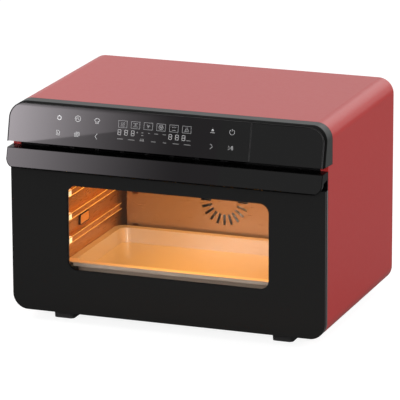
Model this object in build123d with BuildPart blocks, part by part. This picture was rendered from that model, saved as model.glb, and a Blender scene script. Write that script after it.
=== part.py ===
from build123d import *
import os
from math import atan2, cos, hypot, pi, radians, sin

# Countertop steam oven with a drop-down door and a slide-out water tank.
# The origin lies on the worktop under the middle of the oven.
# X points right, Y to the rear and Z up, in millimetres.

# Steel wrap
width = 500.0
height = 339.0
foot_height = 15.0
corner_radius = 24.0
casing_front = -147.0
casing_depth = 317.0
casing_sheet = 0.8
casing_hem = 12.0
casing_return = 36.0
fit_gap = 0.3
sheet_play = 0.1
overrun = 1.0

# Control panel cap and its glass
panel_height = 58.5
panel_lean = 14.0
panel_top_front = -157.5
cap_depth = 30.0
cap_heel = 3.5
cap_wall = 2.5
cap_rim = 1.8
cap_front_wall = 2.0
panel_glass = 3.0
panel_reveal = 0.4
tank_seam_x = 134.6
seam_gap = 0.9
panel_window_border = 9.5

# Door
door_gap = 1.2
door_rim = 3.5
door_frame_depth = 4.1
door_glass_thickness = 4.0
door_glass_edge = 0.5
frame_border = 82.0
frame_border_low = 47.0
frame_border_high = 12.0
door_sheet = 0.8
plug_depth = 7.2
plug_margin = 9.0
plug_radius = 8.0
plug_taper = 10.0
plug_border_side = 12.0
plug_border_high = 17.5
plug_window_radius = 12.0
inner_glass_thickness = 3.0
inner_glass_lap = 8.0
inner_glass_radius = 6.0
frame_window_radius = 10.0

# Handle lip along the top of the door
vent_gap = 9.5
handle_depth = 28.0
handle_reach = 12.2
lip_lean = 8.0
lip_height = 30.0
lip_chamfer_height = 6.0
lip_chamfer_depth = 2.5
lip_corner = 15.0
lip_edge = 2.0
lip_top_edge = 1.0
recess_front = 9.7
recess_radius = 4.0
handle_flange = 11.5
handle_leg = 3.3
handle_glass_thickness = 1.6
handle_border = 2.5
handle_glass_foot = 1.0

# Hinge
pin_radius = 2.0
pin_clearance = 0.06
hinge_x = 205.5
ear_thickness = 3.6
ear_gap = 0.4
lug_thickness = 3.3
ear_radius = 4.0
lug_step = 0.4
pivot_inset = 4.4
crank_reach = 28.0
crank_rise = 14.0
crank_radius = 4.0
crank_heel = 1.6
crank_toe = 3.6
hinge_slot_play = 2.0
stud_length = 8.0
spring_length = 103.0
spring_radius = 3.6
eye_thickness = 1.8
eye_neck = 2.7
hook_length = 3.6
leaf_height = 34.0
leaf_inset = 1.2
bracket_foot = 14.0
bracket_sheet = 1.5

# Front frame, bottom plate and rear panel
frame_sheet = 0.8
plate_sheet = 0.8
plate_lip = 9.0
vent_length = 56.0
vent_width = 8.0
vent_columns = 9
vent_column_pitch = 26.0
vent_rows = 2
vent_row_pitch = 90.0
rear_sheet = 0.8
rear_lip = 11.0
air_slot_height = 4.0
air_slot_length = 34.0
air_slot_margin = 7.0
air_slot_pitch = 40.0
louvre_width = 84.0
louvre_height = 7.0
louvre_depth = 3.4
louvre_knee_depth = 2.65
louvre_knee_height = 4.2
louvre_pitch = 15.0
louvre_count = 7
louvre_rise = 11.0
louvre_x = 112.0
spacer_reach = 10.0
spacer_radius = 11.0
spacer_taper = 8.0
spacer_side = 60.0
spacer_drop = 77.0
gland_side = 50.0
gland_rise = 37.0
gland_radius = 11.0
gland_flange = 3.5
gland_neck_radius = 8.0
gland_inside = 8.0
gland_outside = 5.0
gland_bore = 4.2
screw_radius = 1.5
screw_head_radius = 3.4
screw_head = 1.8
screw_length = 8.0
door_screw_bite = 2.5
rear_screw_inset = 45.0
rear_screw_edge = 14.0
door_screw_edge = 30.0

# Feet
foot_width = 34.0
foot_radius = 7.0
foot_side = 74.0
foot_front = -139.5
foot_rear_inset = 22.0
foot_taper = 3.0
foot_recess_radius = 6.0
foot_recess_depth = 5.0

# Cavity
cavity_width = 354.0
cavity_lift = 33.0
rear_space = 39.8
fan_chamber = 34.0
cavity_radius = 12.0
liner_sheet = 0.8
liner_flange = 9.0
seal_width = 7.0
seal_inset = 2.0
insulation_thickness = 10.0

# Rack rails and tray
rail_sheet = 0.8
rib_depth = 7.5
rib_height = 10.0
rib_pitch = 36.9
rib_lift = 34.2
rib_head_room = 40.0
lamp_level = 1.5
rib_front = 20.0
rib_rear = 14.0
rib_slope = 2.0
rail_margin = 9.0
rail_end_margin = 6.0
tray_side_gap = 1.5
tray_front_gap = 13.0
tray_rear_gap = 9.0
tray_rim_height = 6.0
tray_depth = 24.0
tray_sheet = 0.9
tray_rim_width = 11.0
tray_radius = 16.0
tray_taper = 6.0

# Convection fan, heaters, lamp and probe
fan_ring_gap = 14.0
fan_height = 18.0
fan_blades = 12
blade_turn = 20.0
blade_sheet = 0.8
fan_sheet = 1.0
fan_hub_radius = 9.0
fan_hub_recess = 6.0
fan_shaft_recess = 4.5
shaft_radius = 3.0
shaft_clearance = 0.05
fan_front_gap = 6.0
fan_eye_radius = 24.0
cover_side_gap = 14.0
cover_low_gap = 4.0
cover_high_gap = 18.0
cover_sheet = 0.8
cover_slots = 20
cover_slot_width = 4.0
cover_slot_length = 17.0
cover_slot_radius = 22.0
outlet_inset = 14.0
outlet_pitch = 52.0
outlet_count = 3
outlet_length = 10.0
motor_radius = 31.0
motor_length = 25.0
motor_stand = 8.0
motor_plate = 1.5
motor_screw_radius = 38.0
motor_plate_margin = 5.0
motor_post_radius = 3.0
motor_nose = 2.0
motor_nose_wall = 4.0
motor_cap = 5.0
shaft_hole_gap = 3.0
element_radius = 3.3
ring_margin = 12.0
ring_gap_angle = 14.0
grill_drop = 10.0
grill_side_gap = 45.0
grill_inner_half = 46.0
grill_front = 48.0
grill_rear = 54.0
grill_bend = 20.0
element_tail = 8.0
lamp_y = -55.0
lamp_length = 36.0
lamp_height = 17.0
lamp_glass = 3.6
lamp_holder_depth = 30.0
lamp_lip = 3.0
lamp_wall = 2.0
lamp_base = 3.0
lamp_corner = 2.5
bulb_radius = 4.25
bulb_length = 24.0
probe_y = 40.0
probe_drop = 22.0
probe_radius = 2.0
probe_length = 55.0
probe_nut = 5.0
cutout_x = -90.0
cutout_drop = 46.0
cutout_radius = 9.0
cutout_depth = 7.0
cutout_ear = 9.0
cutout_ear_height = 8.0
cutout_ear_sheet = 1.0

# Deck over the cavity and what stands on it
deck_sheet = 1.0
deck_lip = 9.0
duct_wall = 1.2
duct_height = 18.6
duct_side = 50.0
duct_tank_gap = 4.6
duct_bend = 12.0
duct_rear_y = -30.0
blower_x = -62.0
blower_y = 62.0
blower_radius = 47.0
blower_height = 34.0
blower_wall = 1.6
blower_outlet = 44.0
wheel_radius = 36.0
wheel_height = 24.0
wheel_blades = 18
wheel_blade_length = 9.0
wheel_blade_sheet = 1.0
wheel_blade_turn = 25.0
wheel_blade_inset = 0.5
wheel_plate = 1.2
wheel_hub_radius = 8.0
wheel_hub_height = 12.0
blower_motor_radius = 15.0
blower_motor_height = 16.0
blower_motor_cap = 4.0
spider_width = 6.0
spider_sheet = 2.0
board_sheet = 1.6
board_stand = 6.0
board_corner = 3.0
board_post_inset = 6.0
board_post_radius = 2.5
board_side = 18.0
board_rear_gap = 23.2
power_board_width = 104.0
power_board_length = 128.0
part_inset = 14.0
transformer_y = 16.0
transformer_width = 34.0
transformer_length = 38.0
transformer_height = 26.0
relay_count = 3
relay_y = 62.0
relay_pitch = 20.0
relay_width = 20.0
relay_length = 15.0
relay_height = 15.0
fin_count = 5
fin_x = 62.0
fin_y = 18.0
fin_pitch = 6.0
fin_sheet = 2.0
fin_length = 40.0
fin_height = 22.0
capacitor_x = 72.0
capacitor_y = 88.0
capacitor_radius = 9.0
capacitor_height = 24.0
filter_x = -96.0
filter_rear_gap = 35.2
filter_radius = 12.0
filter_height = 28.0
filter_ear = 8.0
filter_ear_width = 12.0
filter_ear_sheet = 1.5

# Display and touch keys behind the control glass
display_x = -17.0
display_drop = 28.0
display_width = 118.0
display_height = 30.0
display_depth = 6.0
display_rim = 3.0
display_recess = 1.0
touch_left = -205.0
touch_right = 122.0
touch_height = 44.0
touch_pad = 11.0
left_key_x = -169.0
left_key_pitch = 30.7
left_key_columns = 3
right_key_x = 75.2
right_key_pitch = 30.4
right_key_columns = 2
key_row_drop = 28.5
key_row_pitch = 22.8

# Water tank and its sleeve
tank_left_gap = 7.0
tank_right_gap = 14.0
tank_height = 40.0
tank_pump_gap = 16.5
tank_wall = 2.0
tank_floor_gap = 3.0
tank_radius = 7.0
tank_seal = 0.8
lid_sheet = 2.0
lid_lip = 3.0
filler_length = 44.0
filler_width = 30.0
filler_collar = 1.2
filler_wall = 2.0
filler_corner = 6.0
filler_inset = 14.0
front_plate = 2.2
tank_glass_gap = 0.5
sleeve_gap = 1.2
sleeve_wall = 1.5
sleeve_radius = 2.5
sleeve_front_gap = 6.0
sleeve_rear_gap = 6.0
saddle_width = 3.0
saddle_inset = 11.0
catch_width = 16.0
catch_height = 12.0
catch_depth = 12.0
catch_shoulder = 3.0
catch_nose = 6.0
valve_radius = 6.0
valve_length = 18.0
valve_bore = 2.0
valve_wall = 1.5
valve_inset = 16.0
valve_rise = 8.0
tank_spout_wall = 1.0
sleeve_spout_gap = 1.0

# Pump, steam generator and hoses
hose_radius = 3.5
hose_bend = 12.0
pump_rear_gap = 23.2
pump_length = 58.0
pump_radius = 16.0
pump_inlet_run = 30.0
pump_port = 4.5
pump_cap = 4.0
pump_cap_radius = 11.2
pump_foot_half = 9.0
pump_foot_start = 30.0
pump_foot_length = 16.0
port_reach = 5.0
port_root = 4.0
hose_hole_gap = 2.0
generator_width = 42.0
generator_length = 88.0
generator_height = 70.0
generator_y = 66.0
generator_drop = 1.0
generator_stand = 4.0
generator_corner = 8.0
generator_boss_radius = 5.0
nozzle_radius = 5.0
nozzle_bore = 3.0
nozzle_flange = 6.5
nozzle_proud = 3.0

# Places that follow from the sizes above
casing_rear = casing_front + casing_depth
body_height = height - foot_height
mid_z = foot_height + body_height / 2
half = width / 2
floor_top = foot_height + casing_sheet
panel_bottom = height - panel_height
cap_rear = panel_top_front + cap_depth
tank_start_x = tank_seam_x + seam_gap

door_rear = casing_front - door_gap
door_rim_front = door_rear - door_rim
door_frame_front = door_rim_front - door_frame_depth
door_front = door_frame_front - door_glass_thickness
handle_top = panel_bottom - vent_gap
door_top = handle_top - handle_depth
pivot_y = casing_front - pivot_inset
pivot_z = foot_height + pivot_inset - fit_gap

frame_front = casing_front + casing_sheet
frame_rear = frame_front + frame_sheet
frame_top = panel_bottom - cap_heel - fit_gap
plate_top = floor_top + plate_sheet
deck_top = frame_top - fit_gap - duct_height
deck_bottom = deck_top - deck_sheet
cavity_floor = foot_height + cavity_lift
cavity_top = deck_bottom - insulation_thickness - liner_sheet
cavity_height = cavity_top - cavity_floor
cavity_mid_z = cavity_floor + cavity_height / 2
rear_inside = casing_rear - rear_sheet
cavity_depth = rear_inside - rear_space - liner_sheet - fan_chamber - frame_rear
cover_front = frame_rear + cavity_depth
liner_rear = cover_front + fan_chamber
liner_back = liner_rear + liner_sheet
cavity_side = cavity_width / 2
liner_side = cavity_side + liner_sheet
blanket_side = liner_side + insulation_thickness
inside_x = half - casing_sheet

tank_left = tank_start_x + tank_left_gap
tank_right = half - tank_right_gap
tank_bottom = panel_bottom + cap_wall + tank_floor_gap
tank_top = tank_bottom + tank_height

cover_half_width = cavity_side - cover_side_gap
cover_half_height = (cavity_height - cover_low_gap - cover_high_gap) / 2
fan_z = cavity_floor + cover_low_gap + cover_half_height
ring_radius = cover_half_height - ring_margin
fan_radius = ring_radius - fan_ring_gap
grill_half_width = cavity_side - grill_side_gap
rib_count = int((cavity_height - rib_lift - rib_head_room) / rib_pitch) + 1
rib_low_z = cavity_floor + rib_lift
lamp_z = rib_low_z + lamp_level * rib_pitch
nozzle_z = lamp_z
probe_z = cavity_top - probe_drop
cutout_z = cavity_top - cutout_drop
generator_z = cavity_mid_z - generator_drop

foot_x = half - foot_side
spacer_x = half - spacer_side
spacer_z = height - spacer_drop
gland_x = gland_side - half
gland_z = foot_height + gland_rise
display_z = height - display_drop
key_row_z = height - key_row_drop
duct_left = duct_side - half
duct_right = tank_seam_x - duct_tank_gap
duct_width = duct_right - duct_left
duct_middle = (duct_left + duct_right) / 2
power_board_x = board_side - half
power_board_y = rear_inside - board_rear_gap - power_board_length
filter_y = rear_inside - filter_rear_gap
pump_front_y = rear_inside - pump_rear_gap - pump_cap - pump_length
air_slot_count = int((duct_width - 2 * air_slot_margin - air_slot_length) / air_slot_pitch) + 1


def panel_y(z):
    """Depth of the control panel's face at a height."""
    return panel_top_front - panel_lean * (height - z) / panel_height


def lip_y(z):
    """Depth of the handle lip's face at a height."""
    slope = lip_lean / (lip_height - lip_chamfer_height)
    return door_front - handle_reach - slope * (handle_top - z)


def facing(y):
    """Sketch plane at a depth, seen from the front, with X to the right and Z up."""
    return Plane(origin=(0, y, 0), x_dir=(1, 0, 0), z_dir=(0, -1, 0))


def wrap_outline(inset=0.0, mode=Mode.ADD):
    """Front outline of the steel wrap, less an inset, in the sketch in hand."""
    with Locations((0, mid_z)):
        RectangleRounded(width - 2 * inset, body_height - 2 * inset, corner_radius - inset, mode=mode)


def cavity_outline(grow, mode=Mode.ADD):
    """Front outline of the cavity, grown by a margin, in the sketch in hand."""
    with Locations((0, cavity_mid_z)):
        RectangleRounded(
            cavity_width + 2 * grow, cavity_height + 2 * grow, cavity_radius + grow, mode=mode
        )


def door_outline(inset=0.0):
    """Front outline of the door below the handle: square above, rounded below."""
    tall = door_top - foot_height + 2 * corner_radius
    with Locations((0, foot_height + tall / 2)):
        RectangleRounded(width - 2 * inset, tall - 2 * inset, corner_radius - inset)
    with Locations((0, (foot_height + door_top) / 2)):
        Rectangle(width, door_top - foot_height, mode=Mode.INTERSECT)


def block(low, high, mode=Mode.ADD):
    """Box between two opposite corners, in the part in hand."""
    with Locations(tuple((a + b) / 2 for a, b in zip(low, high))):
        Box(*(b - a for a, b in zip(low, high)), mode=mode)


def upright(x, y, z, radius, length, mode=Mode.ADD):
    """Vertical cylinder that stands on a height, in the part in hand."""
    with Locations((x, y, z)):
        Cylinder(radius, length, align=(Align.CENTER, Align.CENTER, Align.MIN), mode=mode)


def rearward(x, y, z, radius, length, mode=Mode.ADD):
    """Cylinder that runs to the rear from a depth, in the part in hand."""
    with Locations(Location((x, y, z), (-90, 0, 0))):
        Cylinder(radius, length, align=(Align.CENTER, Align.CENTER, Align.MIN), mode=mode)


def crosswise(x, y, z, radius, length, mode=Mode.ADD):
    """Cylinder that runs to the right from a position, in the part in hand."""
    with Locations(Location((x, y, z), (0, 90, 0))):
        Cylinder(radius, length, align=(Align.CENTER, Align.CENTER, Align.MIN), mode=mode)


def slab(low, high, front, rear):
    """Side profile of a plate that leans with the control panel, by its depths behind the face."""
    return [
        (panel_y(low) + front, low),
        (panel_y(high) + front, high),
        (panel_y(high) + rear, high),
        (panel_y(low) + rear, low),
    ]


def panel_prism(profile, inset, left, right):
    """Side profile run from left to right, trimmed to the wrap's outline less an inset."""
    with BuildPart() as prism:
        with BuildSketch(Plane.YZ.offset(left)):
            with BuildLine():
                Polyline(*profile, close=True)
            make_face()
        extrude(amount=right - left)
        with BuildSketch(facing(door_front - 2 * handle_reach)):
            wrap_outline(inset)
        extrude(amount=-casing_depth / 2, mode=Mode.INTERSECT)
    return prism.part


# Steel wrap with its folded front hem, open below and notched for the cap
with BuildPart() as outer_casing:
    with BuildSketch(facing(casing_front)):
        wrap_outline()
        wrap_outline(casing_sheet, mode=Mode.SUBTRACT)
    extrude(amount=-casing_depth)
    with BuildSketch(facing(casing_front)):
        wrap_outline()
        wrap_outline(casing_hem, mode=Mode.SUBTRACT)
    extrude(amount=-casing_sheet)
    open_half = half - casing_return
    block(
        (-open_half, casing_front - overrun, foot_height - overrun),
        (open_half, casing_rear + overrun, foot_height + casing_hem + overrun),
        mode=Mode.SUBTRACT,
    )
    with BuildSketch(Plane.YZ):
        with BuildLine():
            Polyline(
                (panel_y(panel_bottom), panel_bottom - fit_gap),
                (cap_rear + fit_gap, panel_bottom - cap_heel - fit_gap),
                (cap_rear + fit_gap, height + overrun),
                (panel_y(panel_bottom), height + overrun),
                close=True,
            )
        make_face()
    extrude(amount=half + overrun, both=True, mode=Mode.SUBTRACT)
outer_casing.part.label = "outer_casing"

# Bottom plate on the wrap's returns, with upturned ends and vent slots
plate_half = half - corner_radius
plate_front = frame_rear
with BuildPart() as bottom_plate:
    block((-plate_half, plate_front, floor_top), (plate_half, rear_inside, plate_top))
    block(
        (-hinge_x + bracket_foot, plate_front, plate_top),
        (hinge_x - bracket_foot, plate_front + plate_sheet, plate_top + plate_lip),
    )
    with Locations((0, 0, plate_top)):
        with GridLocations(vent_column_pitch, vent_row_pitch, vent_columns, vent_rows):
            Box(vent_width, vent_length, 4 * plate_sheet, mode=Mode.SUBTRACT)
bottom_plate.part.label = "bottom_plate"

# Screws that hold the rear panel
with BuildPart() as rear_screws:
    for side in (-1, 1):
        for screw_z in (foot_height + rear_screw_inset, mid_z, spacer_z - rear_screw_inset / 2):
            screw_x = side * (half - rear_screw_edge)
            rearward(screw_x, casing_rear, screw_z, screw_head_radius, screw_head)
            rearward(screw_x, casing_rear - screw_length, screw_z, screw_radius, screw_length)
rear_screws.part.label = "rear_screws"

# Rear panel, a pan with pressed louvres and the cord's gland hole
rear_inset = casing_sheet + sheet_play
louvre_low_z = mid_z + louvre_rise - louvre_pitch * louvre_count / 2
with BuildPart() as rear_panel:
    with BuildSketch(facing(rear_inside)):
        wrap_outline(rear_inset)
    extrude(amount=-rear_sheet)
    with BuildSketch(facing(rear_inside)):
        wrap_outline(rear_inset)
        wrap_outline(rear_inset + rear_sheet, mode=Mode.SUBTRACT)
    extrude(amount=rear_lip)
    block(
        (-plate_half - fit_gap, rear_inside - rear_lip - overrun, foot_height),
        (plate_half + fit_gap, rear_inside, plate_top + fit_gap),
        mode=Mode.SUBTRACT,
    )
    for column_x in (-louvre_x, 0.0, louvre_x):
        for row in range(louvre_count):
            row_z = louvre_low_z + row * louvre_pitch
            with BuildSketch(Plane.YZ.offset(column_x - louvre_width / 2)):
                with BuildLine():
                    Line((rear_inside, row_z), (casing_rear + louvre_depth, row_z))
                    ThreePointArc(
                        (casing_rear + louvre_depth, row_z),
                        (casing_rear + louvre_knee_depth, row_z + louvre_knee_height),
                        (casing_rear, row_z + louvre_height),
                    )
                    Line((casing_rear, row_z + louvre_height), (rear_inside, row_z + louvre_height))
                    Line((rear_inside, row_z + louvre_height), (rear_inside, row_z))
                make_face()
            extrude(amount=louvre_width)
            with BuildSketch(Plane.YZ.offset(column_x - louvre_width / 2 + rear_sheet)):
                with BuildLine():
                    Polyline(
                        (rear_inside - overrun, row_z - rear_sheet),
                        (casing_rear + louvre_depth - rear_sheet, row_z - rear_sheet),
                        (casing_rear + louvre_depth - rear_sheet, row_z + rear_sheet),
                        (casing_rear, row_z + louvre_height - 2 * rear_sheet),
                        (rear_inside - overrun, row_z + louvre_height - 2 * rear_sheet),
                        close=True,
                    )
                make_face()
            extrude(amount=louvre_width - 2 * rear_sheet, mode=Mode.SUBTRACT)
    rearward(gland_x, rear_inside - overrun, gland_z, gland_neck_radius, rear_sheet + 2 * overrun,
             mode=Mode.SUBTRACT)
    add(rear_screws.part, mode=Mode.SUBTRACT)
rear_panel.part.label = "rear_panel"

# Two moulded spacers that keep the oven off the wall
with BuildPart() as rear_spacers:
    for side in (-1, 1):
        with BuildSketch(facing(casing_rear)):
            with Locations((side * spacer_x, spacer_z)):
                Circle(spacer_radius)
        extrude(amount=-spacer_reach, taper=spacer_taper)
rear_spacers.part.label = "rear_spacers"

# Gland for the mains lead, empty
with BuildPart() as cord_gland:
    gland_length = gland_inside + gland_outside
    rearward(gland_x, casing_rear, gland_z, gland_radius, gland_flange)
    rearward(gland_x, casing_rear - gland_inside, gland_z, gland_neck_radius, gland_length)
    rearward(gland_x, casing_rear - gland_inside - overrun, gland_z, gland_bore,
             gland_length + 2 * overrun, mode=Mode.SUBTRACT)
cord_gland.part.label = "cord_gland"

# Four tapered feet
foot_back = casing_rear - foot_rear_inset - foot_width
with BuildPart() as feet:
    for foot_y in (foot_front + foot_width / 2, foot_back + foot_width / 2):
        for side in (-1, 1):
            with BuildSketch(Plane.XY.offset(floor_top)):
                with Locations((side * foot_x, foot_y)):
                    RectangleRounded(foot_width, foot_width, foot_radius)
            extrude(amount=-floor_top, taper=foot_taper)
            upright(side * foot_x, foot_y, -overrun, foot_recess_radius, foot_recess_depth + overrun,
                    mode=Mode.SUBTRACT)
feet.part.label = "feet"

# Cap of the control panel
cap_side = [
    (panel_y(panel_bottom), panel_bottom),
    (panel_y(height), height),
    (cap_rear, height),
    (cap_rear, panel_bottom - cap_heel),
]
behind_glass = panel_glass + cap_front_wall
cap_inside = [
    (panel_y(panel_bottom + cap_wall) + behind_glass, panel_bottom + cap_wall),
    (panel_y(height) + behind_glass, height),
    (cap_rear + overrun, height),
    (cap_rear + overrun, panel_bottom - cap_heel + cap_wall),
]
display_window = slab(
    panel_bottom + panel_window_border, height - panel_window_border, 0, behind_glass + overrun
)
cap_body = panel_prism(cap_side, 0.0, -half, half)
cap_hollow = panel_prism(cap_inside, cap_wall, -half, half)
glass_pocket = panel_prism(
    slab(panel_bottom - overrun, height, -overrun, panel_glass), cap_rim, -half, half
)
display_hole = panel_prism(
    display_window, cap_wall, -half + panel_window_border, tank_seam_x - panel_window_border
)
tank_hole = panel_prism(
    slab(panel_bottom + cap_wall, height, -overrun, behind_glass + overrun), cap_wall, tank_seam_x, half
)
with BuildPart() as control_trim:
    add(cap_body)
    for cut in (cap_hollow, glass_pocket, display_hole, tank_hole):
        add(cut, mode=Mode.SUBTRACT)
control_trim.part.label = "control_trim"

# Control glass, left of the tank's seam
glass_low = panel_bottom + panel_reveal
glass_plate = panel_prism(slab(glass_low, height, 0, panel_glass), cap_rim, -half, tank_seam_x)
with BuildPart() as control_glass:
    add(glass_plate)
control_glass.part.label = "control_glass"

# Display module and touch board, both parallel to the glass
panel_tilt = atan2(panel_lean, panel_height)


def panel_plane(z, depth):
    """Sketch plane that leans with the panel, at a height and a depth behind its face."""
    return Plane(
        origin=(0, panel_y(z) + depth, z), x_dir=(1, 0, 0), z_dir=(0, -cos(panel_tilt), sin(panel_tilt))
    )


glass_back = panel_glass / cos(panel_tilt) + fit_gap
with BuildPart() as display_module:
    with BuildSketch(panel_plane(display_z, glass_back)):
        with Locations((display_x, 0)):
            Rectangle(display_width, display_height)
    extrude(amount=-display_depth)
    with BuildSketch(panel_plane(display_z, glass_back)):
        with Locations((display_x, 0)):
            Rectangle(display_width - 2 * display_rim, display_height - 2 * display_rim)
    extrude(amount=-display_recess, mode=Mode.SUBTRACT)
display_module.part.label = "display_module"

board_depth = glass_back + display_depth / cos(panel_tilt)
with BuildPart() as touch_board:
    with BuildSketch(panel_plane(display_z, board_depth)):
        with Locations(((touch_left + touch_right) / 2, 0)):
            RectangleRounded(touch_right - touch_left, touch_height, board_corner)
    extrude(amount=-board_sheet)
    with BuildSketch(panel_plane(key_row_z, board_depth)):
        for column in range(left_key_columns):
            for row in (-0.5, 0.5):
                with Locations((left_key_x + column * left_key_pitch, row * key_row_pitch)):
                    Rectangle(touch_pad, touch_pad)
        for column in range(right_key_columns):
            for row in (-0.5, 0.5):
                with Locations((right_key_x + column * right_key_pitch, row * key_row_pitch)):
                    Rectangle(touch_pad, touch_pad)
    extrude(amount=display_depth)
touch_board.part.label = "touch_board"

# Front frame behind the hem, with the cavity mouth, air slots and hinge slots
lug_inner = hinge_x - ear_thickness / 2 - ear_gap - lug_thickness
lug_outer = hinge_x + ear_thickness / 2 + ear_gap
crank_side = lug_outer + lug_thickness
slot_top = pivot_z + hypot(crank_reach, crank_rise) + crank_radius + hinge_slot_play
slot_right = crank_side + stud_length + hinge_slot_play / 2
with BuildPart() as front_frame:
    with BuildSketch(facing(frame_front)):
        wrap_outline(casing_sheet + sheet_play)
        with Locations((0, (frame_top + height) / 2)):
            Rectangle(width, height - frame_top, mode=Mode.SUBTRACT)
        with Locations((0, (foot_height + plate_top) / 2)):
            Rectangle(2 * plate_half + 2 * fit_gap, plate_top - foot_height, mode=Mode.SUBTRACT)
        cavity_outline(0, mode=Mode.SUBTRACT)
        with Locations((duct_middle, handle_top + air_slot_height / 2)):
            with GridLocations(air_slot_pitch, 1, air_slot_count, 1):
                SlotOverall(air_slot_length, air_slot_height, mode=Mode.SUBTRACT)
        for side in (-1, 1):
            slot_left = lug_inner - fit_gap
            with Locations((side * (slot_left + slot_right) / 2, (foot_height + slot_top) / 2)):
                Rectangle(slot_right - slot_left, slot_top - foot_height, mode=Mode.SUBTRACT)
    extrude(amount=-frame_sheet)
front_frame.part.label = "front_frame"

# Silicone seal round the cavity mouth
with BuildPart() as door_seal:
    with BuildSketch(facing(frame_front)):
        cavity_outline(seal_inset + seal_width)
        cavity_outline(seal_inset, mode=Mode.SUBTRACT)
    extrude(amount=frame_front - door_rear - fit_gap)
door_seal.part.label = "door_seal"

# Outer glass of the door, black round a clear window
with BuildPart() as door_outer_glass:
    with BuildSketch(facing(door_front)):
        door_outline()
    extrude(amount=-door_glass_thickness)
    chamfer(door_outer_glass.faces().sort_by(Axis.Y)[0].edges(), door_glass_edge)
door_outer_glass.part.label = "door_outer_glass"

# Pockets in the door for the hinge, open behind and below
pocket_top = pivot_z + pivot_inset + hinge_slot_play / 2
with BuildPart() as hinge_pockets:
    for side in (-1, 1):
        near = side * (lug_inner - fit_gap)
        far = side * (crank_side + hinge_slot_play)
        block(
            (min(near, far), door_frame_front, foot_height - overrun),
            (max(near, far), door_rear + overrun, pocket_top),
        )

# Leaves of the hinge arms, let into the door's frame above the pockets
leaf_low = pocket_top
leaf_high = leaf_low + leaf_height
leaf_front = door_frame_front + leaf_inset
leaf_back = door_rim_front
with BuildPart() as leaf_space:
    for side in (-1, 1):
        near, far = side * lug_inner, side * crank_side
        block((min(near, far), leaf_front, leaf_low), (max(near, far), leaf_back, leaf_high))

# Screws that join the inner panel to the frame
with BuildPart() as door_screws:
    for side in (-1, 1):
        for screw_z in (foot_height + 2 * door_screw_edge, door_top - door_screw_edge):
            screw_x = side * (half - door_screw_edge)
            rearward(screw_x, door_rim_front - door_screw_bite, screw_z, screw_radius,
                     door_rim + door_screw_bite)
            rearward(screw_x, door_rear - screw_head, screw_z, screw_head_radius, screw_head)
door_screws.part.label = "door_screws"

# Black moulded frame between the outer glass and the inner panel
opening_low = foot_height + frame_border_low
opening_high = door_top - frame_border_high
with BuildPart() as door_frame:
    with BuildSketch(facing(door_frame_front)):
        door_outline()
        with Locations((0, (opening_low + opening_high) / 2)):
            RectangleRounded(
                width - 2 * frame_border, opening_high - opening_low, frame_window_radius,
                mode=Mode.SUBTRACT,
            )
    extrude(amount=-door_frame_depth)
    add(hinge_pockets.part, mode=Mode.SUBTRACT)
    add(leaf_space.part, mode=Mode.SUBTRACT)
    add(door_screws.part, mode=Mode.SUBTRACT)
door_frame.part.label = "door_frame"

# Pressed inner panel with the plug that enters the cavity mouth.
# Its lower rear edge is rounded about the pivot, so that it clears the wrap as the door drops.
plug_half_width = cavity_side - plug_margin
plug_low = cavity_floor + plug_margin
plug_high = min(cavity_top - plug_margin, door_top - plug_margin)
plug_mid = (plug_low + plug_high) / 2
plug_back = door_rear + plug_depth
plug_window_width = 2 * (plug_half_width - plug_border_side)
plug_window_height = plug_high - plug_low - 2 * plug_border_high


def plug_outline(inset, mode=Mode.ADD):
    """Front outline of the door's plug, less an inset, in the sketch in hand."""
    with Locations((0, plug_mid)):
        RectangleRounded(
            2 * plug_half_width - 2 * inset, plug_high - plug_low - 2 * inset, plug_radius, mode=mode
        )


with BuildPart() as door_inner_panel:
    with BuildSketch(facing(door_rear - door_sheet)):
        door_outline()
    extrude(amount=-door_sheet)
    with BuildSketch(facing(door_rim_front)):
        door_outline()
        with Locations((0, (foot_height + door_top) / 2 + door_rim)):
            Rectangle(
                width - 2 * corner_radius, door_top - foot_height - 2 * door_rim, mode=Mode.SUBTRACT
            )
    extrude(amount=-door_rim)
    with BuildSketch(facing(door_rear)):
        plug_outline(0)
    extrude(amount=-plug_depth, taper=plug_taper)
    with BuildSketch(facing(door_rear - door_sheet)):
        plug_outline(2 * door_sheet)
    extrude(amount=-plug_depth, taper=plug_taper, mode=Mode.SUBTRACT)
    with BuildSketch(facing(door_rim_front)):
        with Locations((0, plug_mid)):
            RectangleRounded(plug_window_width, plug_window_height, plug_window_radius)
    extrude(amount=-door_rim - plug_depth - overrun, mode=Mode.SUBTRACT)
    with BuildSketch(Plane.YZ.offset(-half)):
        with Locations(((pivot_y + door_rear + overrun) / 2, (foot_height - overrun + pivot_z) / 2)):
            Rectangle(door_rear + overrun - pivot_y, pivot_z - foot_height + overrun)
        with Locations((pivot_y, pivot_z)):
            Circle(pivot_inset - fit_gap, mode=Mode.SUBTRACT)
    extrude(amount=width, mode=Mode.SUBTRACT)
    add(hinge_pockets.part, mode=Mode.SUBTRACT)
    add(door_screws.part, mode=Mode.SUBTRACT)
door_inner_panel.part.label = "door_inner_panel"

# Inner glass, clamped behind the plug's window
with BuildPart() as door_inner_glass:
    with BuildSketch(facing(plug_back - door_sheet - inner_glass_thickness)):
        with Locations((0, plug_mid)):
            RectangleRounded(
                plug_window_width + 2 * inner_glass_lap,
                plug_window_height + 2 * inner_glass_lap,
                inner_glass_radius,
            )
    extrude(amount=-inner_glass_thickness)
door_inner_glass.part.label = "door_inner_glass"

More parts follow.
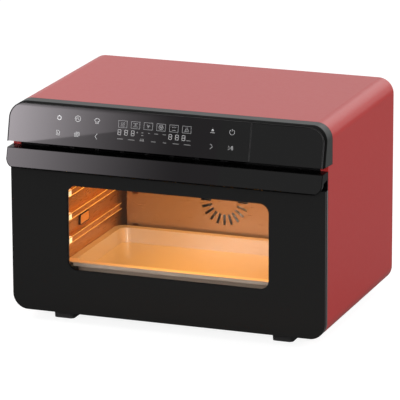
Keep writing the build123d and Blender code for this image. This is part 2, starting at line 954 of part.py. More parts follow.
# Black glass on the lip's face, in a pocket with a narrow border
lip_low = handle_top - lip_height
lip_foot = lip_low + lip_chamfer_height
lip_outer = lip_y(lip_low) - lip_edge
with BuildPart() as handle_glass:
    with BuildSketch(Plane.YZ.offset(-half)):
        with BuildLine():
            Polyline(
                (lip_y(lip_foot), lip_foot),
                (lip_y(handle_top), handle_top),
                (lip_y(handle_top) + handle_glass_thickness, handle_top),
                (lip_y(lip_foot) + handle_glass_thickness, lip_foot),
                close=True,
            )
        make_face()
    extrude(amount=width)
    with BuildSketch(facing(lip_outer - lip_edge)):
        face_low = lip_low + handle_border
        face_high = handle_top - handle_border
        face_tall = face_high - face_low + lip_corner
        with Locations((0, face_low + face_tall / 2)):
            RectangleRounded(width - 2 * handle_border, face_tall, lip_corner - handle_border)
        with Locations((0, (lip_foot + face_high + handle_glass_foot) / 2)):
            Rectangle(width, face_high - lip_foot - handle_glass_foot, mode=Mode.INTERSECT)
    extrude(amount=-4 * handle_reach, mode=Mode.INTERSECT)
handle_glass.part.label = "handle_glass"

# Handle lip, open below and at both ends
recess_y = door_front - recess_front
recess_top = handle_top - handle_flange
leg_y = door_rear - handle_leg
arc_dip = recess_radius * (1 - cos(pi / 4))
with BuildPart() as door_handle:
    with BuildSketch(Plane.YZ.offset(-half)):
        with BuildLine():
            Polyline(
                (recess_y, recess_top - recess_radius),
                (recess_y, lip_low + lip_edge),
                (recess_y - lip_edge, lip_low),
                (lip_y(lip_foot) + lip_chamfer_depth, lip_low),
                (lip_y(lip_foot), lip_foot),
                (lip_y(handle_top - lip_top_edge), handle_top - lip_top_edge),
                (lip_y(handle_top) + lip_top_edge, handle_top),
                (door_rear, handle_top),
                (door_rear, door_top),
                (leg_y, door_top),
                (leg_y, recess_top),
                (recess_y + recess_radius, recess_top),
            )
            ThreePointArc(
                (recess_y + recess_radius, recess_top),
                (recess_y + arc_dip, recess_top - arc_dip),
                (recess_y, recess_top - recess_radius),
            )
        make_face()
    extrude(amount=width)
    with BuildSketch(facing(lip_outer)):
        for side in (-1, 1):
            with Locations((side * (half - lip_corner / 2), lip_low + lip_corner / 2)):
                Rectangle(lip_corner, lip_corner)
            with Locations((side * (half - lip_corner), lip_low + lip_corner)):
                Circle(lip_corner, mode=Mode.SUBTRACT)
    extrude(amount=-(recess_y + fit_gap - lip_outer), mode=Mode.SUBTRACT)
    add(handle_glass.part, mode=Mode.SUBTRACT)
door_handle.part.label = "door_handle"

# Hinge arms on the door: two lugs, a leaf above them and a crank that runs into the body
with BuildPart() as hinge_arms:
    add(leaf_space.part)
    for side in (-1, 1):
        for lug_left in (lug_inner, lug_outer):
            edge = min(side * lug_left, side * (lug_left + lug_thickness))
            with BuildSketch(Plane.YZ.offset(edge)):
                with Locations((pivot_y, pivot_z)):
                    Circle(ear_radius - lug_step)
                with Locations(((leaf_front + leaf_back) / 2, (pivot_z + leaf_low) / 2)):
                    Rectangle(leaf_back - leaf_front, leaf_low - pivot_z)
            extrude(amount=lug_thickness)
        edge = min(side * lug_outer, side * crank_side)
        with BuildSketch(Plane.YZ.offset(edge)):
            with BuildLine():
                Polyline(
                    (pivot_y, pivot_z - crank_heel),
                    (pivot_y + crank_reach, pivot_z + crank_rise - crank_radius),
                    (pivot_y + crank_reach, pivot_z + crank_rise + crank_radius),
                    (pivot_y, pivot_z + crank_toe),
                    close=True,
                )
            make_face()
            with Locations((pivot_y + crank_reach, pivot_z + crank_rise)):
                Circle(crank_radius)
        extrude(amount=lug_thickness)
        stud_edge = min(side * crank_side, side * (crank_side + stud_length))
        crosswise(stud_edge, pivot_y + crank_reach, pivot_z + crank_rise, pin_radius, stud_length)
        pin_edge = min(side * lug_inner, side * crank_side)
        crosswise(pin_edge, pivot_y, pivot_z, pin_radius, crank_side - lug_inner, mode=Mode.SUBTRACT)
hinge_arms.part.label = "hinge_arms"

# Hinge pins, held by the lugs
with BuildPart() as hinge_pins:
    for side in (-1, 1):
        pin_edge = min(side * lug_inner, side * crank_side)
        crosswise(pin_edge, pivot_y, pivot_z, pin_radius, crank_side - lug_inner)
hinge_pins.part.label = "hinge_pins"

# Hinge brackets on the bottom plate: ear in front, spring anchor at the rear
stud_y = pivot_y + crank_reach
stud_z = pivot_z + crank_rise
anchor_y = stud_y + spring_length
with BuildPart() as hinge_brackets:
    for side in (-1, 1):
        edge = min(side * (hinge_x - ear_thickness / 2), side * (hinge_x + ear_thickness / 2))
        with BuildSketch(Plane.YZ.offset(edge)):
            with Locations((pivot_y, pivot_z)):
                Circle(ear_radius)
            with BuildLine():
                Polyline(
                    (pivot_y, plate_top),
                    (anchor_y + ear_radius, plate_top),
                    (anchor_y + ear_radius, stud_z + ear_radius),
                    (anchor_y - ear_radius, stud_z + ear_radius),
                    (anchor_y - 3 * ear_radius, pivot_z + ear_radius),
                    (pivot_y, pivot_z + ear_radius),
                    close=True,
                )
            make_face()
        extrude(amount=ear_thickness)
        crosswise(edge - overrun, pivot_y, pivot_z, pin_radius + pin_clearance,
                  ear_thickness + 2 * overrun, mode=Mode.SUBTRACT)
        anchor_length = crank_side + stud_length - hinge_x - ear_thickness / 2
        anchor_edge = min(side * (hinge_x + ear_thickness / 2), side * (crank_side + stud_length))
        crosswise(anchor_edge, anchor_y, stud_z, pin_radius, anchor_length)
        foot_edge = side * (hinge_x - bracket_foot)
        block(
            (min(foot_edge, side * hinge_x), frame_rear + 2 * plate_sheet, plate_top),
            (max(foot_edge, side * hinge_x), anchor_y, plate_top + bracket_sheet),
        )
hinge_brackets.part.label = "hinge_brackets"

# Counterbalance springs, hooked on the crank studs and the anchors
with BuildPart() as door_springs:
    spring_x = crank_side + stud_length / 2
    eye_radius = pin_radius + fit_gap
    for side in (-1, 1):
        with BuildSketch(Plane.YZ.offset(side * spring_x - eye_thickness / 2)):
            with Locations((stud_y, stud_z), (anchor_y, stud_z)):
                Circle(eye_radius + eye_thickness)
                Circle(eye_radius, mode=Mode.SUBTRACT)
            with Locations(
                (stud_y + eye_radius + eye_neck, stud_z),
                (anchor_y - eye_radius - eye_neck, stud_z),
            ):
                Rectangle(hook_length, eye_thickness)
        extrude(amount=eye_thickness)
        coil_start = eye_radius + hook_length
        rearward(side * spring_x, stud_y + coil_start, stud_z, spring_radius,
                 spring_length - 2 * coil_start)
door_springs.part.label = "door_springs"

# Steel box of the cavity with its front flange and the fan chamber at its rear
grill_z = cavity_top - grill_drop
ring_y = cover_front + cover_sheet + fan_front_gap + fan_height / 2
ring_leg_x = ring_radius * sin(radians(ring_gap_angle))
ring_leg_z = fan_z - ring_radius * cos(radians(ring_gap_angle))
generator_left = blanket_side + generator_stand
with BuildPart() as cavity_liner:
    with BuildSketch(facing(frame_rear)):
        cavity_outline(liner_sheet)
    extrude(amount=-(liner_back - frame_rear))
    with BuildSketch(facing(frame_rear)):
        cavity_outline(liner_flange)
    extrude(amount=-liner_sheet)
    with BuildSketch(facing(frame_rear)):
        cavity_outline(0)
    extrude(amount=-(liner_rear - frame_rear), mode=Mode.SUBTRACT)
    hole_front = liner_rear - overrun
    hole_depth = liner_sheet + 2 * overrun
    rearward(0, hole_front, fan_z, shaft_radius + shaft_hole_gap, hole_depth, mode=Mode.SUBTRACT)
    for side in (-1, 1):
        for leg_x, leg_z in ((ring_leg_x, ring_leg_z), (grill_half_width, grill_z)):
            rearward(side * leg_x, hole_front, leg_z, element_radius + fit_gap, hole_depth,
                     mode=Mode.SUBTRACT)
    block(
        (-liner_side - overrun, lamp_y - lamp_length / 2 + lamp_lip, lamp_z - lamp_height / 2 + lamp_lip),
        (-cavity_side + overrun, lamp_y + lamp_length / 2 - lamp_lip, lamp_z + lamp_height / 2 - lamp_lip),
        mode=Mode.SUBTRACT,
    )
    crosswise(-liner_side - overrun, probe_y, probe_z, probe_radius + fit_gap, hole_depth,
              mode=Mode.SUBTRACT)
    crosswise(cavity_side - overrun, generator_y, nozzle_z, nozzle_radius + fit_gap, hole_depth,
              mode=Mode.SUBTRACT)
cavity_liner.part.label = "cavity_liner"

# Insulation blanket round the cavity
blanket_front = frame_rear + liner_sheet
with BuildPart() as insulation:
    with BuildSketch(facing(blanket_front)):
        cavity_outline(liner_sheet + insulation_thickness)
        cavity_outline(liner_sheet, mode=Mode.SUBTRACT)
    extrude(amount=-(liner_back - blanket_front))
    block(
        (-blanket_side - overrun, lamp_y - lamp_length / 2, lamp_z - lamp_height / 2 - fit_gap),
        (-liner_side, lamp_y + lamp_length / 2, lamp_z + lamp_height / 2 + fit_gap),
        mode=Mode.SUBTRACT,
    )
    hole_depth = insulation_thickness + overrun
    crosswise(-blanket_side - overrun, probe_y, probe_z, probe_nut + fit_gap, hole_depth,
              mode=Mode.SUBTRACT)
    crosswise(liner_side, generator_y, nozzle_z, nozzle_radius + fit_gap, hole_depth,
              mode=Mode.SUBTRACT)
    for boss_side in (-1, 1):
        crosswise(liner_side, generator_y + boss_side * generator_length / 3, generator_z,
                  generator_boss_radius + fit_gap, hole_depth, mode=Mode.SUBTRACT)
insulation.part.label = "insulation"

# Rack rails pressed from sheet, with hollow ribs that the tray hangs on
rib_start = frame_rear + rib_front
rib_end = cover_front - rib_rear
rib_top_z = rib_low_z + (rib_count - 1) * rib_pitch


def rack_rail(side, window_y, window_z, window_length, window_height):
    """Pressed rail for one cavity wall, with a window for what the wall carries there."""
    wall = side * cavity_side
    face = side * (cavity_side - rail_sheet)
    tip = side * (cavity_side - rib_depth)
    with BuildPart() as rail:
        block(
            (min(wall, face), rib_start - rail_end_margin, rib_low_z - rib_height / 2 - rail_margin),
            (max(wall, face), rib_end + rail_end_margin, rib_top_z + rib_height / 2 + rail_margin),
        )
        for level in range(rib_count):
            top = rib_low_z + level * rib_pitch + rib_height / 2
            low = top - rib_height
            with BuildSketch(facing(rib_start)):
                with BuildLine():
                    Polyline((wall, top), (tip, top), (tip, low), (wall, low - rib_slope), close=True)
                make_face()
            extrude(amount=-(rib_end - rib_start))
            inner_tip = side * (cavity_side - rib_depth + rail_sheet)
            with BuildSketch(facing(rib_start + rail_sheet)):
                with BuildLine():
                    Polyline(
                        (wall, top - rail_sheet),
                        (inner_tip, top - rail_sheet),
                        (inner_tip, low + rail_sheet),
                        (wall, low - rib_slope + rail_sheet),
                        close=True,
                    )
                make_face()
            extrude(amount=-(rib_end - rib_start - 2 * rail_sheet), mode=Mode.SUBTRACT)
        block(
            (min(wall, face) - overrun, window_y - window_length / 2, window_z - window_height / 2),
            (max(wall, face) + overrun, window_y + window_length / 2, window_z + window_height / 2),
            mode=Mode.SUBTRACT,
        )
    return rail


rack_rail_left = rack_rail(
    -1, lamp_y, lamp_z, lamp_length + 2 * fit_gap, lamp_height + 2 * fit_gap
)
rack_rail_left.part.label = "rack_rail_left"
nozzle_window = 2 * nozzle_flange + 2 * fit_gap
rack_rail_right = rack_rail(1, generator_y, nozzle_z, nozzle_window, nozzle_window)
rack_rail_right.part.label = "rack_rail_right"

# Baking tray, hung by its side rims on the lowest ribs
tray_half = cavity_side - tray_side_gap
tray_front = frame_rear + tray_front_gap
tray_rear = cover_front - tray_rear_gap
tray_mid = (tray_front + tray_rear) / 2
rim_top = rib_low_z + rib_height / 2 + fit_gap + tray_sheet
with BuildPart() as baking_tray:
    with BuildSketch(Plane.XY.offset(rim_top)):
        with Locations((0, tray_mid)):
            RectangleRounded(2 * tray_half, tray_rear - tray_front, tray_radius)
    extrude(amount=-tray_sheet)
    skirt_half = cavity_side - rib_depth - tray_radius / 2
    for skirt_y in (tray_front, tray_rear - tray_sheet):
        block(
            (-skirt_half, skirt_y, rim_top - tray_rim_height),
            (skirt_half, skirt_y + tray_sheet, rim_top),
        )
    pan_width = 2 * (tray_half - tray_rim_width)
    pan_length = tray_rear - tray_front - 2 * tray_rim_width
    with BuildSketch(Plane.XY.offset(rim_top)):
        with Locations((0, tray_mid)):
            RectangleRounded(pan_width, pan_length, tray_radius)
    extrude(amount=-tray_depth, taper=tray_taper)
    with BuildSketch(Plane.XY.offset(rim_top)):
        with Locations((0, tray_mid)):
            RectangleRounded(
                pan_width - 2 * tray_sheet, pan_length - 2 * tray_sheet, tray_radius - tray_sheet
            )
    extrude(amount=-(tray_depth - tray_sheet), taper=tray_taper, mode=Mode.SUBTRACT)
baking_tray.part.label = "baking_tray"

# Fan cover with its intake rosette and side outlets, flanged back to the rear wall
with BuildPart() as fan_cover:
    block(
        (-cover_half_width, cover_front, fan_z - cover_half_height),
        (cover_half_width, cover_front + cover_sheet, fan_z + cover_half_height),
    )
    for low in (fan_z - cover_half_height, fan_z + cover_half_height - cover_sheet):
        block((-cover_half_width, cover_front, low), (cover_half_width, liner_rear, low + cover_sheet))
    with BuildSketch(facing(cover_front)):
        with Locations((0, fan_z)):
            with PolarLocations(cover_slot_radius + cover_slot_length / 2, cover_slots):
                Rectangle(cover_slot_length, cover_slot_width)
        with Locations((0, fan_z)):
            with GridLocations(2 * (cover_half_width - outlet_inset), outlet_pitch, 2, outlet_count):
                SlotOverall(outlet_length, cover_slot_width)
    extrude(amount=-2 * cover_sheet, mode=Mode.SUBTRACT)
fan_cover.part.label = "fan_cover"

# Convection fan: back plate, blades, hub and shaft
fan_front = cover_front + cover_sheet + fan_front_gap
fan_back = fan_front + fan_height
motor_front = liner_back + motor_stand
shaft_end = motor_front + motor_plate + motor_length - motor_cap
blade_span = fan_radius - fan_eye_radius
with BuildPart() as convection_fan:
    rearward(0, fan_back - fan_sheet, fan_z, fan_radius, fan_sheet)
    with BuildSketch(facing(fan_front)):
        with Locations((0, fan_z)):
            with PolarLocations(fan_eye_radius + blade_span / 2, fan_blades):
                Rectangle(blade_span, blade_sheet, rotation=blade_turn)
    extrude(amount=-(fan_height - fan_sheet))
    rearward(0, fan_front + fan_hub_recess, fan_z, fan_hub_radius, fan_height - fan_hub_recess)
    shaft_start = fan_front + fan_shaft_recess
    rearward(0, shaft_start, fan_z, shaft_radius, shaft_end - shaft_start)
convection_fan.part.label = "convection_fan"

# Fan motor on three posts behind the chamber
with BuildPart() as fan_motor:
    rearward(0, motor_front, fan_z, motor_screw_radius + motor_plate_margin, motor_plate)
    rearward(0, motor_front + motor_plate, fan_z, motor_radius, motor_length)
    rearward(0, liner_back + motor_nose, fan_z, shaft_radius + motor_nose_wall, motor_stand)
    with Locations(Location((0, liner_back, fan_z), (-90, 0, 0))):
        with PolarLocations(motor_screw_radius, 3, start_angle=90):
            Cylinder(motor_post_radius, motor_stand, align=(Align.CENTER, Align.CENTER, Align.MIN))
    rearward(0, liner_back, fan_z, shaft_radius + shaft_clearance,
             shaft_end + motor_cap / 2 - liner_back, mode=Mode.SUBTRACT)
fan_motor.part.label = "fan_motor"

# Ring heater round the fan, with its legs through the rear wall
gap_angle = radians(ring_gap_angle)
ring_start = Plane(
    origin=(0, ring_y, fan_z),
    x_dir=(-sin(gap_angle), 0, -cos(gap_angle)),
    z_dir=(cos(gap_angle), 0, -sin(gap_angle)),
)
with BuildPart() as ring_heater:
    with BuildSketch(ring_start):
        with Locations((ring_radius, 0)):
            Circle(element_radius)
    revolve(axis=Axis((0, ring_y, fan_z), (0, 1, 0)), revolution_arc=360 - 2 * ring_gap_angle)
    for side in (-1, 1):
        leg_front = ring_y - element_radius
        rearward(side * ring_leg_x, leg_front, ring_leg_z, element_radius,
                 liner_back + element_tail - leg_front)
ring_heater.part.label = "ring_heater"

# Grill heater under the cavity's roof, its legs through the rear wall
grill_near = frame_rear + grill_front
grill_far = cover_front - grill_rear
grill_end = liner_back + element_tail
with BuildPart() as grill_heater:
    with BuildLine(Plane.XY.offset(grill_z)) as grill_path:
        FilletPolyline(
            (-grill_half_width, grill_end),
            (-grill_half_width, grill_near),
            (-grill_inner_half, grill_near),
            (-grill_inner_half, grill_far),
            (grill_inner_half, grill_far),
            (grill_inner_half, grill_near),
            (grill_half_width, grill_near),
            (grill_half_width, grill_end),
            radius=grill_bend,
        )
    with BuildSketch(Plane(origin=grill_path.line @ 0, z_dir=grill_path.line % 0)):
        Circle(element_radius)
    sweep()
grill_heater.part.label = "grill_heater"

# Lamp holder behind the left wall and its glass cover inside
with BuildPart() as lamp_holder:
    holder_left = -liner_side - lamp_holder_depth
    block(
        (holder_left, lamp_y - lamp_length / 2, lamp_z - lamp_height / 2),
        (-liner_side, lamp_y + lamp_length / 2, lamp_z + lamp_height / 2),
    )
    block(
        (holder_left + lamp_base, lamp_y - lamp_length / 2 + lamp_wall, lamp_z - lamp_height / 2 + lamp_wall),
        (-liner_side + overrun, lamp_y + lamp_length / 2 - lamp_wall, lamp_z + lamp_height / 2 - lamp_wall),
        mode=Mode.SUBTRACT,
    )
    crosswise(holder_left, lamp_y, lamp_z, bulb_radius, bulb_length)
lamp_holder.part.label = "lamp_holder"

with BuildPart() as lamp_cover:
    with BuildSketch(Plane.YZ.offset(-cavity_side)):
        with Locations((lamp_y, lamp_z)):
            RectangleRounded(lamp_length, lamp_height, lamp_corner)
    extrude(amount=lamp_glass)
lamp_cover.part.label = "lamp_cover"

# Temperature probe through the left wall
with BuildPart() as temperature_probe:
    crosswise(-liner_side - 2 * probe_nut, probe_y, probe_z, probe_radius,
              2 * probe_nut + liner_sheet + probe_length)
    crosswise(-liner_side - probe_nut, probe_y, probe_z, probe_nut, probe_nut)
temperature_probe.part.label = "temperature_probe"

# Thermal cutout on the rear wall of the chamber
ear_reach = cutout_radius + cutout_ear
with BuildPart() as thermal_cutout:
    rearward(cutout_x, liner_back, cutout_z, cutout_radius, cutout_depth)
    block(
        (cutout_x - ear_reach, liner_back, cutout_z - cutout_ear_height / 2),
        (cutout_x + ear_reach, liner_back + cutout_ear_sheet, cutout_z + cutout_ear_height / 2),
    )
thermal_cutout.part.label = "thermal_cutout"

# Deck plate over the insulation, lipped down at both sides
generator_x = generator_left + generator_width / 2
pump_outlet_y = pump_front_y + pump_radius
deck_half = inside_x - 2 * rear_sheet
with BuildPart() as deck_plate:
    block((-deck_half, frame_rear, deck_bottom), (deck_half, rear_inside, deck_top))
    for side in (-1, 1):
        near, far = side * (deck_half - deck_sheet), side * deck_half
        block((min(near, far), frame_rear, deck_bottom - deck_lip), (max(near, far), rear_inside, deck_top))
    upright(generator_x, pump_outlet_y, deck_bottom - overrun, hose_radius + hose_hole_gap,
            deck_sheet + 2 * overrun, mode=Mode.SUBTRACT)
deck_plate.part.label = "deck_plate"

# Air duct from the blower to the slots above the door
duct_bend_y = cap_rear + duct_bend
outlet_x = blower_x - blower_radius + blower_outlet / 2


def duct_form(inset):
    """Flat duct that narrows and rises to the blower's outlet, less a wall: its plan and its side."""
    low = deck_top + inset
    outlet_high = deck_top + blower_height - inset
    with BuildPart() as form:
        with BuildSketch(Plane.XY.offset(low)):
            with BuildLine():
                Polyline(
                    (duct_left + inset, frame_rear),
                    (duct_right - inset, frame_rear),
                    (duct_right - inset, duct_bend_y),
                    (outlet_x + blower_outlet / 2 - inset, duct_rear_y),
                    (outlet_x - blower_outlet / 2 + inset, duct_rear_y),
                    (duct_left + inset, duct_bend_y),
                    close=True,
                )
            make_face()
        extrude(amount=outlet_high - low)
        with BuildSketch(Plane.YZ.offset(duct_left)):
            with BuildLine():
                Polyline(
                    (frame_rear, low),
                    (duct_rear_y, low),
                    (duct_rear_y, outlet_high),
                    (duct_bend_y, deck_top + duct_height - inset),
                    (frame_rear, deck_top + duct_height - inset),
                    close=True,
                )
            make_face()
        extrude(amount=duct_width, mode=Mode.INTERSECT)
    return form.part


duct_shell = duct_form(0)
duct_bore = duct_form(duct_wall)
with BuildPart() as air_duct:
    add(duct_shell)
    add(duct_bore, mode=Mode.SUBTRACT)
air_duct.part.label = "air_duct"

# Blower housing, a scroll that opens into the duct
with BuildPart() as blower_housing:
    for inset, low, high, mode in (
        (0, deck_top, deck_top + blower_height, Mode.ADD),
        (blower_wall, deck_top + blower_wall, deck_top + blower_height - blower_wall, Mode.SUBTRACT),
    ):
        with BuildSketch(Plane.XY.offset(low)):
            with Locations((blower_x, blower_y)):
                Circle(blower_radius - inset)
            with Locations((outlet_x, (duct_rear_y + blower_y) / 2)):
                Rectangle(blower_outlet - 2 * inset, blower_y - duct_rear_y)
        extrude(amount=high - low, mode=mode)
    upright(blower_x, blower_y, deck_top + blower_height / 2, wheel_radius - wheel_blade_length,
            blower_height, mode=Mode.SUBTRACT)
blower_housing.part.label = "blower_housing"

# Blower wheel on its shaft, turned from above
wheel_low = deck_top + blower_wall + (blower_height - 2 * blower_wall - wheel_height) / 2
blower_top = deck_top + blower_height
with BuildPart() as blower_wheel:
    upright(blower_x, blower_y, wheel_low, wheel_radius, wheel_plate)
    with BuildSketch(Plane.XY.offset(wheel_low)):
        with Locations((blower_x, blower_y)):
            with PolarLocations(wheel_radius - wheel_blade_length / 2 - wheel_blade_inset, wheel_blades):
                Rectangle(wheel_blade_length, wheel_blade_sheet, rotation=wheel_blade_turn)
    extrude(amount=wheel_height)
    upright(blower_x, blower_y, wheel_low, wheel_hub_radius, wheel_hub_height)
    wheel_shaft_top = blower_top + blower_motor_height - blower_motor_cap
    upright(blower_x, blower_y, wheel_low, shaft_radius, wheel_shaft_top - wheel_low)
blower_wheel.part.label = "blower_wheel"

# Blower motor on a three-armed spider over the intake
with BuildPart() as blower_motor:
    with BuildSketch(Plane.XY.offset(blower_top)):
        with Locations((blower_x, blower_y)):
            Circle(blower_motor_radius)
            with PolarLocations(wheel_radius / 2, 3):
                Rectangle(wheel_radius, spider_width)
    extrude(amount=spider_sheet)
    upright(blower_x, blower_y, blower_top, blower_motor_radius, blower_motor_height)
    upright(blower_x, blower_y, blower_top - overrun, shaft_radius + shaft_clearance,
            blower_motor_height + overrun - blower_motor_cap / 2, mode=Mode.SUBTRACT)
blower_motor.part.label = "blower_motor"

# Power board on its posts
board_low = deck_top + board_stand
board_high = board_low + board_sheet
board_right = power_board_x + power_board_width
board_back = power_board_y + power_board_length
with BuildPart() as power_board:
    block((power_board_x, power_board_y, board_low), (board_right, board_back, board_high))
    for post_x in (power_board_x + board_post_inset, board_right - board_post_inset):
        for post_y in (power_board_y + board_post_inset, board_back - board_post_inset):
            upright(post_x, post_y, deck_top, board_post_radius, board_stand)
    part_x = power_board_x + part_inset
    block(
        (part_x, power_board_y + transformer_y, board_high),
        (
            part_x + transformer_width,
            power_board_y + transformer_y + transformer_length,
            board_high + transformer_height,
        ),
    )
    for relay in range(relay_count):
        relay_front = power_board_y + relay_y + relay_pitch * relay
        block(
            (part_x, relay_front, board_high),
            (part_x + relay_width, relay_front + relay_length, board_high + relay_height),
        )
    for fin in range(fin_count):
        fin_left = power_board_x + fin_x + fin_pitch * fin
        block(
            (fin_left, power_board_y + fin_y, board_high),
            (fin_left + fin_sheet, power_board_y + fin_y + fin_length, board_high + fin_height),
        )
    upright(power_board_x + capacitor_x, power_board_y + capacitor_y, board_high, capacitor_radius,
            capacitor_height)
power_board.part.label = "power_board"

# Mains filter
with BuildPart() as mains_filter:
    upright(filter_x, filter_y, deck_top, filter_radius, filter_height)
    block(
        (filter_x - filter_radius - filter_ear, filter_y - filter_ear_width / 2, deck_top),
        (
            filter_x + filter_radius + filter_ear,
            filter_y + filter_ear_width / 2,
            deck_top + filter_ear_sheet,
        ),
    )
mains_filter.part.label = "mains_filter"

# Water tank: tub, seal and lid
tank_front_y = panel_y(height) + panel_glass + front_plate + fit_gap
tank_rear_y = pump_front_y - pump_cap - tank_pump_gap - sleeve_wall - sleeve_rear_gap
tank_length = tank_rear_y - tank_front_y
lid_low = tank_top + tank_seal
lid_high = lid_low + lid_sheet
tank_mid_x = (tank_left + tank_right) / 2
tank_mid_y = (tank_front_y + tank_rear_y) / 2
tank_wide = tank_right - tank_left
valve_x = tank_left + valve_inset
valve_z = tank_bottom + valve_rise


def tank_outline(inset, mode=Mode.ADD):
    """Plan outline of the tank, less an inset, in the sketch in hand."""
    with Locations((tank_mid_x, tank_mid_y)):
        RectangleRounded(
            tank_wide - 2 * inset, tank_length - 2 * inset, tank_radius - inset, mode=mode
        )


with BuildPart() as water_tank:
    with BuildSketch(Plane.XY.offset(tank_bottom)):
        tank_outline(0)
    extrude(amount=tank_height)
    with BuildSketch(Plane.XY.offset(tank_bottom + tank_wall)):
        tank_outline(tank_wall)
    extrude(amount=tank_height, mode=Mode.SUBTRACT)
    spout_length = tank_wall + sleeve_rear_gap - sleeve_spout_gap
    rearward(valve_x, tank_rear_y - tank_wall, valve_z, valve_bore + tank_spout_wall, spout_length)
    rearward(valve_x, tank_rear_y - tank_wall - overrun, valve_z, valve_bore,
             spout_length + 2 * overrun, mode=Mode.SUBTRACT)
water_tank.part.label = "water_tank"

with BuildPart() as tank_seal_ring:
    with BuildSketch(Plane.XY.offset(tank_top)):
        tank_outline(0)
        tank_outline(tank_wall, mode=Mode.SUBTRACT)
    extrude(amount=tank_seal)
tank_seal_ring.part.label = "tank_seal"

filler_y = tank_front_y + filler_inset + filler_length / 2
with BuildPart() as tank_lid:
    with BuildSketch(Plane.XY.offset(lid_low)):
        tank_outline(0)
    extrude(amount=lid_sheet)
    with BuildSketch(Plane.XY.offset(lid_low)):
        tank_outline(tank_wall + fit_gap)
        tank_outline(tank_wall + fit_gap + lid_sheet, mode=Mode.SUBTRACT)
    extrude(amount=-lid_lip)
    with BuildSketch(Plane.XY.offset(lid_high)):
        with Locations((tank_mid_x, filler_y)):
            RectangleRounded(
                filler_width + 2 * filler_wall, filler_length + 2 * filler_wall, filler_corner + filler_wall
            )
    extrude(amount=filler_collar)
    with BuildSketch(Plane.XY.offset(lid_low - overrun)):
        with Locations((tank_mid_x, filler_y)):
            RectangleRounded(filler_width, filler_length, filler_corner)
    extrude(amount=lid_sheet + filler_collar + 2 * overrun, mode=Mode.SUBTRACT)
tank_lid.part.label = "tank_lid"

# Front of the tank: black glass on a carrier that closes the panel
front_low = panel_bottom + cap_wall + tank_glass_gap
tank_glass_plate = panel_prism(
    slab(glass_low, height, 0, panel_glass), cap_rim + tank_glass_gap, tank_start_x, half
)
carrier_plate = panel_prism(
    slab(front_low, height, panel_glass, panel_glass + front_plate),
    cap_wall + tank_glass_gap, tank_start_x, half,
)
carrier_block = panel_prism(
    [
        (panel_y(tank_bottom) + panel_glass, tank_bottom),
        (panel_y(lid_high) + panel_glass, lid_high),
        (tank_front_y, lid_high),
        (tank_front_y, tank_bottom),
    ],
    cap_wall + tank_glass_gap, tank_left, tank_right,
)
with BuildPart() as tank_front_glass:
    add(tank_glass_plate)
tank_front_glass.part.label = "tank_front_glass"

with BuildPart() as tank_front:
    add(carrier_plate)
    add(carrier_block)
tank_front.part.label = "tank_front"

# Sleeve that the tank slides in, on two saddles
sleeve_low = tank_bottom - sleeve_gap - sleeve_wall
sleeve_high = lid_high + filler_collar + sleeve_gap + sleeve_wall
sleeve_half = tank_wide / 2 + sleeve_gap + sleeve_wall
sleeve_front = tank_front_y + sleeve_front_gap
sleeve_rear = tank_rear_y + sleeve_rear_gap
catch_z = (tank_bottom + tank_top) / 2
nose_half = catch_width / 2 - catch_shoulder
with BuildPart() as tank_sleeve:
    for inset, rear, mode in (
        (0, sleeve_rear + sleeve_wall, Mode.ADD),
        (sleeve_wall, sleeve_rear, Mode.SUBTRACT),
    ):
        with BuildSketch(facing(sleeve_front)):
            with Locations((tank_mid_x, (sleeve_low + sleeve_high) / 2)):
                RectangleRounded(
                    2 * (sleeve_half - inset), sleeve_high - sleeve_low - 2 * inset, sleeve_radius - inset
                )
        extrude(amount=-(rear - sleeve_front), mode=mode)
    for saddle_y in (sleeve_front + tank_length / 3, sleeve_rear - tank_length / 6):
        block(
            (tank_mid_x - sleeve_half + saddle_inset, saddle_y, deck_top),
            (tank_mid_x + sleeve_half - saddle_inset, saddle_y + saddle_width, sleeve_low + sleeve_wall / 2),
        )
    rearward(valve_x, sleeve_rear - overrun, valve_z, 2 * valve_bore, sleeve_wall + 2 * overrun,
             mode=Mode.SUBTRACT)
    block(
        (tank_mid_x - nose_half - fit_gap, sleeve_rear - overrun, catch_z - catch_nose / 2 - fit_gap),
        (
            tank_mid_x + nose_half + fit_gap,
            sleeve_rear + sleeve_wall + overrun,
            catch_z + catch_nose / 2 + fit_gap,
        ),
        mode=Mode.SUBTRACT,
    )
tank_sleeve.part.label = "tank_sleeve"

# Push-push catch behind the sleeve, its nose close to the tub
with BuildPart() as tank_catch:
    catch_front = sleeve_rear + sleeve_wall
    block(
        (tank_mid_x - catch_width / 2, catch_front, catch_z - catch_height / 2),
        (tank_mid_x + catch_width / 2, catch_front + catch_depth, catch_z + catch_height / 2),
    )
    block(
        (tank_mid_x - nose_half, tank_rear_y + fit_gap, catch_z - catch_nose / 2),
        (tank_mid_x + nose_half, catch_front, catch_z + catch_nose / 2),
    )
tank_catch.part.label = "tank_catch"

# Outlet valve on the sleeve
valve_front = sleeve_rear + sleeve_wall
valve_rear = valve_front + valve_length
with BuildPart() as tank_valve:
    rearward(valve_x, valve_front, valve_z, valve_radius, valve_length / 2)
    rearward(valve_x, valve_front, valve_z, valve_bore + valve_wall, valve_length)
    rearward(valve_x, valve_front - overrun, valve_z, valve_bore, valve_length + 2 * overrun,
             mode=Mode.SUBTRACT)
tank_valve.part.label = "tank_valve"

